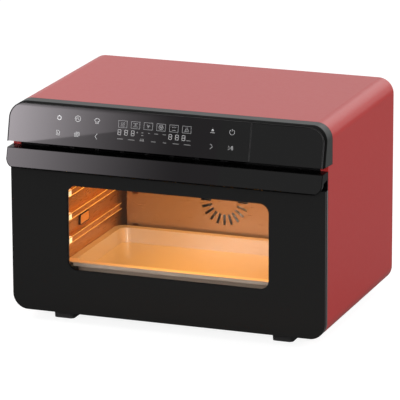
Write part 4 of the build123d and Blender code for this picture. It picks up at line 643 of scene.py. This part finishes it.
left_keys = (
    (light_mark, -168.4, 321.4), (clock_mark, -138.6, 321.4), (hat_mark, -107.7, 320.4),
    (page_mark, -168.8, 298.7), (pages_mark, -138.6, 298.7), (back_mark, -107.7, 298.1),
)
right_keys = (
    (drop_mark, 75.4, 322.0), (power_mark, 105.8, 321.6),
    (next_mark, 75.2, 298.5), (play_mark, 105.2, 298.7),
)
print(len(left_keys) + len(right_keys), "keys drawn")

# %% Strokes of the cooking signs
blade_shift = 1.2
blade_turns = [(turn, math.radians(turn)) for turn in (0, 120, 240)]
steam_sign = [line((x, 2.6), (x + 0.8, 1.2), (x - 0.4, 0), (x + 0.5, -1.4)) for x in (-2.2, 0, 2.2)]
steam_sign.append(level(3.2, -2.8))
bake_sign = [level(3.6, 2.4), level(3.6, -2.4), ring(1.0)]
fan_sign = [(arc(1.3, turn, turn + 200, blade_shift * math.cos(t), blade_shift * math.sin(t), 8), False)
            for turn, t in blade_turns]
grill_sign = [line((-3.6, 2.6), (-1.8, 1.2), (0, 2.6), (1.8, 1.2), (3.6, 2.6)), level(3, -2.6)]
dome_sign = [(arc(2.8, 0, 180, 0, -1.8, 10), True), level(3.6, -2.9)]
dome_sign += [line((-1.2, 1.8), (-1.2, 3.0)), line((1.2, 1.8), (1.2, 3.0))]
cooking_signs = (steam_sign, bake_sign, fan_sign, fan_sign + [ring(3.4)], grill_sign, dome_sign)
print(len(cooking_signs), "cooking signs drawn")

# %% [markdown]
# ## Laying the drawing on the glass
# The control glass leans back, so the drawing's plane leans with it: its own X runs to the
# right, its own Y up the glass, and its Z out of the glass. One matrix holds all that.

# %% Print the keys
glass_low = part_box("control_glass")[0]
panel_right = Vector((1.0, 0.0, 0.0))
panel_up = Vector((0.0, math.sin(panel_lean), math.cos(panel_lean)))
ink_thickness = 0.12 * mm
ink_lift = 0.4 * ink_thickness
panel_foot = Vector((0.0, glass_low.y, glass_low.z)) + panel_out * ink_lift
lean = Matrix((panel_right, panel_up, panel_out)).transposed().to_4x4()
on_panel = Matrix.Translation(panel_foot) @ lean


def up_panel(height):
    """Distance up the glass to a height above the floor, both in millimetres."""
    return (height - glass_low.z / mm) / math.cos(panel_lean)


def shifted_strokes(strokes, x, height):
    """Strokes moved to a place on the panel."""
    return [([(x + a, up_panel(height) + b) for a, b in points], closed) for points, closed in strokes]


def band_mesh(name, strokes, line_width, ink, place):
    """Mesh of printed bands along strokes."""
    values = {"Line Width": line_width * mm, "Ink Thickness": ink_thickness, "Ink": ink}
    return grown_mesh(stroke_curve(name, strokes), printed_strokes, values, place)


def print_on_panel(name, strokes, line_width, ink, body="oven"):
    """Prints strokes on the panel as one piece that rides on a body."""
    return new_piece(name, band_mesh(name, strokes, line_width, ink, on_panel), body, ink)


def ink_and_painted_light(name, dark, light, glow):
    """Printing ink, a little uneven, that may be lit from behind; it also paints the shadow gap and the edge
    highlights.
    """
    finish = new_finish(name, light, 0.5, specular=0.3)
    tint(finish, noise(finish, 0.002), dark, light)
    feed(shader_input(finish, "Emission Color"), (*light, 1.0))
    feed(shader_input(finish, "Emission Strength"), glow)
    return finish


key_ink = ink_and_painted_light("key_ink", (0.6, 0.6, 0.61), (0.72, 0.72, 0.73), 0.3)
bright_ink = ink_and_painted_light("bright_ink", (0.7, 0.69, 0.7), (0.82, 0.81, 0.82), 0.2)
faint_ink = ink_and_painted_light("faint_ink", grey(0.3), grey(0.38), 0.08)
sign_ink = ink_and_painted_light("sign_ink", (0.5, 0.5, 0.51), (0.6, 0.6, 0.61), 0.1)
for name, keys, key_line in (("key_marks", left_keys, 0.7), ("right_key_marks", right_keys, 0.42)):
    key_strokes = [stroke for mark, x, height in keys for stroke in shifted_strokes(mark, x, height)]
    print_on_panel(name, key_strokes, key_line, key_ink)

# %% [markdown]
# ## Repeating digits and frames
# The display shows two groups of three figures and a row of six framed signs. One figure
# is drawn, and a tree repeats it: points along a line, an instance on each, then Realize
# Instances, because the finished piece has to be one plain mesh.

# %% Tree that repeats a drawing along a row
def row_tree():
    """Geometry Nodes: copies of the incoming geometry along a row, set in a material."""
    tree, given = new_tree("row_of_copies", Count="Int", Spacing="Vector", Finish="Material")
    row = add_node(tree, "GeometryNodeMeshLine", Count=given["Count"], Offset=given["Spacing"])
    copies = add_node(tree, "GeometryNodeInstanceOnPoints", Points=row.outputs[0],
                      Instance=given["Geometry"])
    return end_tree(tree, copies.outputs[0], given["Finish"])


row_of_copies = row_tree()
print("row tree with", len(row_of_copies.nodes), "nodes")


def print_row(name, strokes, line_width, count, spacing, ink):
    """Prints a drawing several times along the panel and gives back the piece."""
    drawn = band_mesh(name, strokes, line_width, ink, Matrix.Identity(4))
    values = {"Count": count, "Spacing": (spacing * mm, 0.0, 0.0), "Finish": ink}
    mesh = grown_mesh(bpy.data.objects.new(name, drawn), row_of_copies, values, on_panel)
    return new_piece(name, mesh, "oven", ink)


# %% Print the figures and frames
digit_width = 4.6
digit_height = 7.4
segment_gap = 0.3
sign_start, sign_spacing, sign_height = -66.5, 20.26, 319.3

a, b, g = digit_width / 2, digit_height / 2, segment_gap
digit = [level(a - g, height) for height in (-b, 0.0, b)]
digit += [line((side, low + g), (side, low + b - g)) for side in (-a, a) for low in (-b, 0.0)]
print_row("left_digits", shifted_strokes(digit, -71.0, 307.3), 0.5, 3, 10.6, bright_ink)
print_row("right_digits", shifted_strokes(digit, 9.8, 306.9), 0.5, 3, 10.45, bright_ink)
sign_frame = shifted_strokes([frame_of(13.6, 10.2)], sign_start, sign_height)
print_row("sign_frames", sign_frame, 0.5, 6, sign_spacing, sign_ink)

# %% [markdown]
# ## Signs inside the frames and the small marks between the figures
# The signs differ, so they are drawn one by one, each at its frame's place in the row. Short
# plain dashes stand under the display and beside the figures.

# %% Print the signs and dashes
sign_strokes = []
for index, sign in enumerate(cooking_signs):
    sign_strokes += shifted_strokes(sign, sign_start + sign_spacing * index, sign_height)
print_on_panel("cooking_signs", sign_strokes, 0.42, sign_ink)

low_dashes = ((-69.3, 9.3), (-51.5, 10.6), (-34.6, 7.0), (-16.3, 7.2), (1.5, 5.4), (19.3, 9.6), (37.3, 10.6))
high_dashes = ((-34.6, 3.0), (-23.9, 3.0), (-12.7, 6.0), (0.2, 5.4))
dash_strokes = []
for x, length in low_dashes:
    dash_strokes += shifted_strokes([level(length / 2)], x, 297.6)
dash_strokes += shifted_strokes([frame_of(5.0, 2.2)], -34.6, 299.0)
for x, length in high_dashes:
    dash_strokes += shifted_strokes([level(length / 2)], x, 309.2)
dash_strokes += shifted_strokes([level(1.6)], -34.6, 305.3)
dash_strokes += shifted_strokes([ring(0.7)], -42.6, 309.0)
dash_strokes += shifted_strokes([level(3.2)], 38.5, 303.6)
print_on_panel("panel_dashes", dash_strokes, 0.75, faint_ink)

# %% [markdown]
# ## The dark line round the glass and its bright cut edges
# The control glass sits in the cap with a narrow shadow gap, which is painted as one dark stroke:
# up the left side, round the corners and down the right side. The light that the ground edges
# catch is painted too, as thin grey strokes. They are drawn at both sides of the seam and round
# the glass on the tank's front, and the edges of that glass ride on the tank.

# %% Line the control glass
cap_half, cap_top, cap_low, cap_corner = 250.0, 339.0, 281.0, 24.0
gap_inset, gap_width = 1.15, 1.3
cut_inset, cut_width = 2.55, 0.4
seam_x, seam_width = 134.6, 0.9


def panel_outline(inset, left=True, steps=10):
    """Points round the cap's outline less an inset, as places up the leaning glass."""
    radius = cap_corner - inset
    side, top = cap_half - inset, cap_top - inset
    points = []
    if left:
        points += [(-side, cap_low), *arc(radius, 180, 90, radius - side, top - radius, steps)]
    points += [*arc(radius, 90, 0, side - radius, top - radius, steps), (side, cap_low)]
    return [(x, up_panel(height)) for x, height in points]


def across_seam(x):
    """Upright line beside the seam."""
    return line((x, up_panel(cap_low)), (x, up_panel(cap_top - cut_inset)))


# Painted shadow in the gap, and painted highlights on the cut edges
painted_gap_shadow = ink_and_painted_light("shadow_gap", grey(0.001), grey(0.0016), 0.0)
edge_glint_paint = ink_and_painted_light("painted_glint_edge", grey(0.03), grey(0.045), 0.0)
print_on_panel("glass_gap_line", [(panel_outline(gap_inset), False)], gap_width, painted_gap_shadow)
glass_edge = [across_seam(seam_x - cut_width / 2)]
print_on_panel("glass_cut_edge", glass_edge, cut_width, edge_glint_paint)
tank_edges = [(panel_outline(cut_inset, left=False), False), across_seam(seam_x + seam_width + cut_width / 2)]
print_on_panel("tank_cut_edge", tank_edges, cut_width, edge_glint_paint, "tank")

# %% [markdown]
# ## Pieces that differ a little from the measured ones
# In the photograph the glass covers the handle's whole face, with only a narrow bevel below
# it, and the door's inner panel leaves a wider view into the cavity. Each is a copy of the
# measured piece whose points are moved by a rule, and the copy stands in for the original.

# %% Reshape a copy of a node
def reshaped(name, node, move, body, finish):
    """Copy of a node's mesh with its points moved by a rule, in the node's place."""
    shape = bmesh.new()
    shape.from_mesh(nodes[node].data)
    bmesh.ops.remove_doubles(shape, verts=shape.verts, dist=0.001 * mm)
    for vert in shape.verts:
        vert.co = move(vert.co)
    mesh = bpy.data.meshes.new(name)
    shape.to_mesh(mesh)
    shape.free()
    # The stored normals belong to the old places of the points, so they are taken off
    mesh.attributes.remove(mesh.attributes["custom_normal"])
    mesh.set_sharp_from_angle(angle=math.radians(25))
    piece = new_piece(name, mesh, body, finish)
    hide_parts(node)
    return piece


def between(value, low, high, new_low, new_high):
    """Value carried from one range to another, straight."""
    return new_low + (new_high - new_low) * (value - low) / (high - low)


print("reshaping helpers ready")

# %% Widen the inner panel's window
window_side, window_rim, panel_side = 138.0 * mm, 156.0 * mm, 165.0 * mm
window_growth = 8.0 * mm


def window_move(co):
    """Widens the inner panel's window towards both sides."""
    x = abs(co.x)
    if window_side < x <= window_rim:
        shift = window_growth * (x - window_side) / (window_rim - window_side)
    elif window_rim < x < panel_side:
        shift = window_growth * (panel_side - x) / (panel_side - window_rim)
    else:
        return co
    return Vector((math.copysign(x + shift, co.x), co.y, co.z))


print("window", window_growth / mm, "mm wider at each side")

# %% Shape the handle's lip and glass
lip_low, lip_foot, lip_top = 241.0 * mm, 247.0 * mm, 271.0 * mm
lip_front, lip_back = -180.0 * mm, -172.0 * mm
bevel_top = 243.5 * mm
lip_behind = -165.0 * mm
glass_sink = 0.25 * mm
corner_x, corner_z, corner_radius = 235.0 * mm, 256.0 * mm, 15.0 * mm
glass_border = 1.2 * mm
glass_foot, glass_head = bevel_top + 0.3 * mm, lip_top - 0.6 * mm
on_corner = 0.05 * mm


def raised(z):
    """Height after the lip's bevel is made narrower."""
    if z < lip_foot:
        return between(z, lip_low, lip_foot, lip_low, bevel_top)
    return between(z, lip_foot, lip_top, bevel_top, lip_top)


def round_corner(x, z, radius):
    """Place across, on the same side as x, where a rounded lower corner is at a height."""
    reach = math.sqrt(max(radius ** 2 - (corner_z - z) ** 2, 0.0))
    return math.copysign(corner_x + reach, x)


def lip_move(co):
    """Narrows the bevel of the handle's lip and sinks its face behind the glass."""
    if co.y > lip_behind or co.z < lip_low:
        return co
    x, z = co.x, raised(co.z)
    outside = math.hypot(abs(co.x) - corner_x, co.z - corner_z) - corner_radius
    if abs(co.x) > corner_x and co.z < corner_z and abs(outside) < on_corner:
        x = round_corner(x, z, corner_radius)
    face = between(z, bevel_top, lip_top, lip_front, lip_back)
    sink = glass_sink if co.y < face + glass_sink else 0.0
    return Vector((x, co.y + sink, z))


def handle_glass_move(co):
    """Widens the handle's glass to the whole face."""
    low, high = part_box("handle_glass")
    if co.z < corner_z:
        z = between(co.z, low.z, corner_z, glass_foot, corner_z)
        x = round_corner(co.x, z, corner_radius - glass_border)
    else:
        z = between(co.z, corner_z, high.z, corner_z, glass_head)
        x = math.copysign(corner_x + corner_radius - glass_border, co.x)
    old_face = between(co.z, lip_foot, lip_top, lip_front, lip_back)
    return Vector((x, co.y - old_face + between(z, bevel_top, lip_top, lip_front, lip_back), z))


reshaped("handle_lip", "door_handle", lip_move, "door", gloss_black)
reshaped("handle_face", "handle_glass", handle_glass_move, "door", black_glass)
reshaped("door_liner", "door_inner_panel", window_move, "door", panel_enamel)

# %% [markdown]
# ## Screws
# A pan-head screw is a turned dome with a cross-shaped recess. One is modelled: a ring of
# points for the rim, a cross cut in the flat top, and the cross pushed inwards. A tree then
# sets a copy on every screw's place, worked out from the boxes of the model's own screws.

# %% Model one screw head
def screw_mesh(radius, rise, recess):
    """Closed pan head that stands on Z = 0 with a cross recess in its top."""
    shape = bmesh.new()
    around = 24
    turns = [2 * math.pi * step / around for step in range(around)]
    rings = []
    for share, height in ((1.0, 0.0), (1.0, 0.35), (0.92, 0.68), (0.76, 0.9), (0.6, 1.0)):
        reach = radius * share
        rings.append([
            shape.verts.new((reach * math.cos(t), reach * math.sin(t), rise * height)) for t in turns
        ])
    for lower, upper in zip(rings, rings[1:]):
        for step in range(around):
            after = (step + 1) % around
            shape.faces.new((lower[step], lower[after], upper[after], upper[step]))
    shape.faces.new(list(reversed(rings[0])))
    arm, slot_half = radius * 0.46, radius * 0.11
    quarter = [(slot_half, slot_half), (slot_half, arm), (-slot_half, arm)]
    cross = quarter + [(-y, x) for x, y in quarter]
    cross += [(-x, -y) for x, y in cross]
    top = [shape.verts.new((x, y, rise)) for x, y in cross]
    floor = [shape.verts.new((x * 0.8, y * 0.8, rise - recess)) for x, y in cross]
    count = len(cross)
    rim_edges = [shape.edges.get((rings[-1][s], rings[-1][(s + 1) % around])) for s in range(around)]
    cross_edges = [shape.edges.new((top[s], top[(s + 1) % count])) for s in range(count)]
    bmesh.ops.triangle_fill(shape, edges=rim_edges + cross_edges, use_beauty=True)
    for step in range(count):
        after = (step + 1) % count
        shape.faces.new((top[step], floor[step], floor[after], top[after]))
    shape.faces.new(floor)
    bmesh.ops.recalc_face_normals(shape, faces=shape.faces)
    mesh = bpy.data.meshes.new("screw_head")
    shape.to_mesh(mesh)
    shape.free()
    return mesh


screw_radius = 3.4 * mm
screw_rise = 1.8 * mm
screw_recess = 1.1 * mm
one_screw = bpy.data.objects.new("one_screw", screw_mesh(screw_radius, screw_rise, screw_recess))
print("screw head", len(one_screw.data.polygons), "faces")

# %% Tree that sets copies on points
def scatter_tree():
    """Geometry Nodes: a copy of an object on every point, turned to face one way."""
    tree, given = new_tree("copies_on_points", Copy="Object", Turn="Vector", Finish="Material", Seed="Int")
    source = add_node(tree, "GeometryNodeObjectInfo", Object=given["Copy"])
    spin = add_node(tree, "FunctionNodeRandomValue", Seed=given["Seed"])
    spin.inputs[3].default_value = math.pi / 2
    about = add_node(tree, "ShaderNodeCombineXYZ", Z=spin.outputs[1])
    copies = add_node(tree, "GeometryNodeInstanceOnPoints", Points=given["Geometry"],
                      Instance=source.outputs["Geometry"], Rotation=given["Turn"])
    turned = add_node(tree, "GeometryNodeRotateInstances", Instances=copies.outputs[0],
                      Rotation=about.outputs[0], Local_Space=True)
    return end_tree(tree, turned.outputs[0], given["Finish"])


copies_on_points = scatter_tree()
print("copying tree with", len(copies_on_points.nodes), "nodes")

# %% Set the screws
def set_screws(name, node, heights, body):
    """Screw heads in place of a node's plain ones, in two columns that face the rear."""
    low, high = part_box(node)
    face_y = high.y - screw_rise
    points = [(side * (high.x - screw_radius), face_y, height) for side in (-1, 1) for height in heights]
    spots = bpy.data.meshes.new(name)
    spots.from_pydata(points, [], [])
    values = {"Copy": one_screw, "Turn": (-math.pi / 2, 0.0, 0.0), "Finish": can_steel, "Seed": 7}
    mesh = grown_mesh(bpy.data.objects.new(name, spots), copies_on_points, values)
    piece = new_piece(name, mesh, body, can_steel)
    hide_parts(node)


low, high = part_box("rear_screws")
casing_low, casing_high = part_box("outer_casing")
rear_heights = (low.z + screw_radius, (casing_low.z + casing_high.z) / 2, high.z - screw_radius)
set_screws("rear_screw_heads", "rear_screws", rear_heights, "oven")
low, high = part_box("door_screws")
set_screws("door_screw_heads", "door_screws", (low.z + screw_radius, high.z - screw_radius), "door")
bpy.data.objects.remove(one_screw)

# %% [markdown]
# ## The springs that balance the door
# Each is one unbroken wire: an eye round the door's stud, a close coil and an eye round the
# anchor. The path is a formula in millimetres, and a tree runs a round profile along it.

# %% Tree for round wire
def wire_tree():
    """Geometry Nodes: a round wire along each curve."""
    tree, given = new_tree("round_wire", Wire_Radius="Float", Finish="Material")
    profile = add_node(tree, "GeometryNodeCurvePrimitiveCircle", Resolution=6, Radius=given["Wire Radius"])
    wire = add_node(tree, "GeometryNodeCurveToMesh", Curve=given["Geometry"],
                    Profile_Curve=profile.outputs[0], Fill_Caps=True)
    return end_tree(tree, wire.outputs[0], given["Finish"])


round_wire = wire_tree()
print("wire tree with", len(round_wire.nodes), "nodes")


def wire_piece(name, strokes, radius, finish):
    """Round wires along strokes as one piece on the oven's body."""
    values = {"Wire Radius": radius * mm, "Finish": finish}
    mesh = grown_mesh(stroke_curve(name, strokes), round_wire, values)
    return new_piece(name, mesh, "oven", finish, smooth=True)


# %% Wind the springs
low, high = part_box("door_springs")
wire_radius = 0.55
coil_radius = (high.z - low.z) / 2 / mm - wire_radius
eye_radius = 2.7
eye_neck = 2.2 * eye_radius
eye_start, eye_end = -60, 230
spring_x = (high.x / mm) - coil_radius - wire_radius
spring_z = (low.z + high.z) / 2 / mm
front_eye = low.y / mm + eye_radius + wire_radius
rear_eye = high.y / mm - eye_radius - wire_radius
turns_each = 62
steps_a_turn = 12


def spring_path(x):
    """Points of one spring, from the eye on the door's stud to the eye on the anchor."""
    coil_start = front_eye + eye_neck
    coil_end = rear_eye - eye_neck
    front, rear = arc(1.0, eye_start, eye_end), arc(1.0, eye_end, eye_start)
    path = [(x, front_eye + eye_radius * b, spring_z + eye_radius * a) for a, b in front]
    for step in range(turns_each * steps_a_turn + 1):
        turn = 2 * math.pi * step / steps_a_turn
        along = coil_start + (coil_end - coil_start) * step / (turns_each * steps_a_turn)
        path.append((x + coil_radius * math.sin(turn), along, spring_z + coil_radius * math.cos(turn)))
    path += [(x, rear_eye - eye_radius * b, spring_z - eye_radius * a) for a, b in rear]
    return path


spring_strokes = [(spring_path(side * spring_x), False) for side in (-1, 1)]
spring_piece = wire_piece("wound_springs", spring_strokes, wire_radius, hinge_steel)
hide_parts("door_springs")

# %% [markdown]
# ## Bright beads along the rack rails
# The stamped rails are creased twice, above and below each rib, and the creases are what
# shines in the photograph. The same wire tree runs a thin bead along every crease.

# %% Bead the rails
bead_radius = 0.7
bead_rise = 4.6
bead_sink = 0.2
bead_inset = 1.0
rib_count = 4
rail_low, rail_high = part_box("rack_rail_right")
bead_strokes = []
for side in (-1, 1):
    for rib in range(rib_count):
        for rise in (-bead_rise, bead_rise):
            height = (rib_low + rib * rib_pitch) / mm + rise
            x = side * (rail_low.x / mm - bead_sink)
            ends = (rail_low.y / mm + bead_inset, rail_high.y / mm - bead_inset)
            bead_strokes.append(line(*[(x, y, height) for y in ends]))
# The cream beads are painted highlights along the creases
wire_piece("rail_beads", bead_strokes, bead_radius, glint_bead_steel)

# %% [markdown]
# ## The floor and the light
# The floor and the world are plain white to the camera and to what shows through glass,
# which is what the Light Path node is for, and they light the oven only at an even, ordinary
# level. Mirrors see the world as white and the floor as a mid tone. The floor keeps a soft
# shadow under the oven.

# %% Floor
def seen_directly(owner, mirror_share=1.0):
    """1 for camera and see-through rays, a share for mirrors, 0 for rays that carry light."""
    path = add_node(owner, "ShaderNodeLightPath").outputs
    total = math_node(owner, "MULTIPLY", path["Is Glossy Ray"], mirror_share)
    for name in ("Is Camera Ray", "Is Transmission Ray"):
        total = math_node(owner, "MAXIMUM", total, path[name])
    return total


def studio_sheet(name, corners):
    """Flat sheet of the studio with an empty material; gives back both."""
    mesh = bpy.data.meshes.new(name)
    mesh.from_pydata(corners, [], [(0, 1, 2, 3)])
    sheet = bpy.data.objects.new(name, mesh)
    scene.collection.objects.link(sheet)
    finish = bpy.data.materials.new(name)
    finish.use_nodes = True
    finish.node_tree.nodes.clear()
    dress(sheet, finish)
    return sheet, finish


floor_half = 7.0
floor_glow = 0.86
floor_mirrored = 0.06
floor_white = 0.32

floor_corners = [(x * floor_half, y * floor_half, 0.0) for x, y in ((-1, -1), (1, -1), (1, 1), (-1, 1))]
floor, floor_finish = studio_sheet("studio_floor", floor_corners)
matt = add_node(floor_finish, "ShaderNodeBsdfDiffuse", Color=(*grey(floor_white), 1.0))
lift = math_node(floor_finish, "MULTIPLY", seen_directly(floor_finish, floor_mirrored), floor_glow)
glow = add_node(floor_finish, "ShaderNodeEmission", Strength=lift)
total = add_node(floor_finish, "ShaderNodeAddShader")
feed(total.inputs[0], matt.outputs[0])
feed(total.inputs[1], glow.outputs[0])
add_node(floor_finish, "ShaderNodeOutputMaterial", Surface=total.outputs[0])
print("floor", 2 * floor_half, "m wide")

# %% World
world_light = 0.42

world = bpy.data.worlds.new("studio_world")
scene.world = world
world.use_nodes = True
sky = world.node_tree.nodes["Background"]
feed(sky.inputs["Color"], (*grey(1.0), 1.0))
feed(sky.inputs["Strength"], ranged(world, seen_directly(world), 0.0, 1.0, world_light, 1.0))
print("world ready")

# %% [markdown]
# ## The lamps
# Four soft lamps stand round the oven. One over its left side lifts the roof, a strong one
# to the right lights the side and the rounded edge, one behind grazes the shoulder, and one
# in front reaches the tray's rim and the red hem in the gap above the door. A small warm
# fifth hangs in the cavity and stands for the oven's own lamp.

# %% Lamps
def soft_lamp(name, place, target, size, power, color=(1.0, 1.0, 1.0)):
    """Rectangular area lamp that looks at a target."""
    data = bpy.data.lights.new(name, "AREA")
    data.shape = "RECTANGLE"
    data.size, data.size_y = size
    data.energy = power
    data.color = color
    lamp = bpy.data.objects.new(name, data)
    scene.collection.objects.link(lamp)
    lamp.location = place
    lamp.rotation_euler = (Vector(target) - Vector(place)).to_track_quat("-Z", "Y").to_euler()


oven_middle = (0.0, 0.0, 0.17)
for name, place, width, power in (
    ("overhead_lamp", (-1.3, -0.1, 1.1), 0.8, 8.0),
    ("side_lamp", (2.55, 0.78, 1.5), 1.2, 32.0),
    ("shoulder_lamp", (0.5, 2.7, 1.48), 1.4, 7.0),
    ("front_lamp", (0.9, -2.7, 1.0), 1.0, 32.0),
):
    soft_lamp(name, place, oven_middle, (width, width), power)
soft_lamp("cavity_lamp", (0.0, -0.02, 0.2285), (0.0, -0.02, 0.0), (0.29, 0.17), 1.05, (1.0, 0.48, 0.09))
print("lamps set")

# %% [markdown]
# ## The soft box that the glass mirrors
# Black glass shows only what it mirrors. In the photograph the left half of the panel and
# of the handle mirrors a large soft box that fades to the right, with a slanting lower edge.
# A card in front of the oven, to the left, carries that fade, and only mirrors see it. It is
# at full strength between the slanting edge and a step above it, and about half elsewhere.

# %% Reflection card
card_y = -1.4
card_left, card_right = -1.5, -0.36
card_low, card_high = 0.34, 1.3
card_corners = [(card_left, card_y, card_low), (card_right, card_y, card_low),
                (card_right, card_y, card_high), (card_left, card_y, card_high)]
card, card_finish = studio_sheet("soft_box_card", card_corners)
for ray in ("camera", "diffuse", "transmission", "volume_scatter", "shadow"):
    setattr(card, "visible_" + ray, False)
print("card", round(card_right - card_left, 2), "m wide")

# %% Light of the card
fade_end, fade_start = -0.428, -0.75
fade_power, fade_most = 1.75, 1.3
card_strength = 18.7
slant_foot, slant_rise = (-0.702, 0.531), 0.195
card_step, card_soft = 0.595, 0.0015
lower_share = 0.485


def card_math(operation, first, second):
    """Math on the card's own tree."""
    return math_node(card_finish, operation, first, second)


def clamped(value):
    """Value kept between 0 and 1."""
    return card_math("MINIMUM", card_math("MAXIMUM", value, 0.0), 1.0)


place = axes(card_finish)
across, up = place["X"], place["Z"]
fade = card_math("MULTIPLY", card_math("SUBTRACT", fade_end, across), 1.0 / (fade_end - fade_start))
fade = card_math("POWER", card_math("MAXIMUM", fade, 0.0), fade_power)
fade = card_math("MINIMUM", fade, fade_most)
slant = card_math("MULTIPLY", card_math("SUBTRACT", across, slant_foot[0]), slant_rise)
slant = card_math("SUBTRACT", card_math("SUBTRACT", up, slant_foot[1]), slant)
above = clamped(card_math("DIVIDE", slant, card_soft))
below = clamped(card_math("DIVIDE", card_math("SUBTRACT", card_step, up), card_soft))
share = card_math("MULTIPLY", card_math("MULTIPLY", above, below), 1 - lower_share)
share = card_math("MULTIPLY", fade, card_math("ADD", share, lower_share))
strength = card_math("ADD", card_math("MULTIPLY", share, card_strength), 1.0)
glow = add_node(card_finish, "ShaderNodeEmission", Color=(1.0, 0.92, 0.972, 1.0), Strength=strength)
add_node(card_finish, "ShaderNodeOutputMaterial", Surface=glow.outputs[0])
print("card lit by", len(card_finish.node_tree.nodes), "nodes")

# %% [markdown]
# ## The view transform
# Colours are shown through the Standard view transform. The finished model has to stay
# inside the measured one.

# %% Set the view transform
scene.view_settings.view_transform = "Standard"
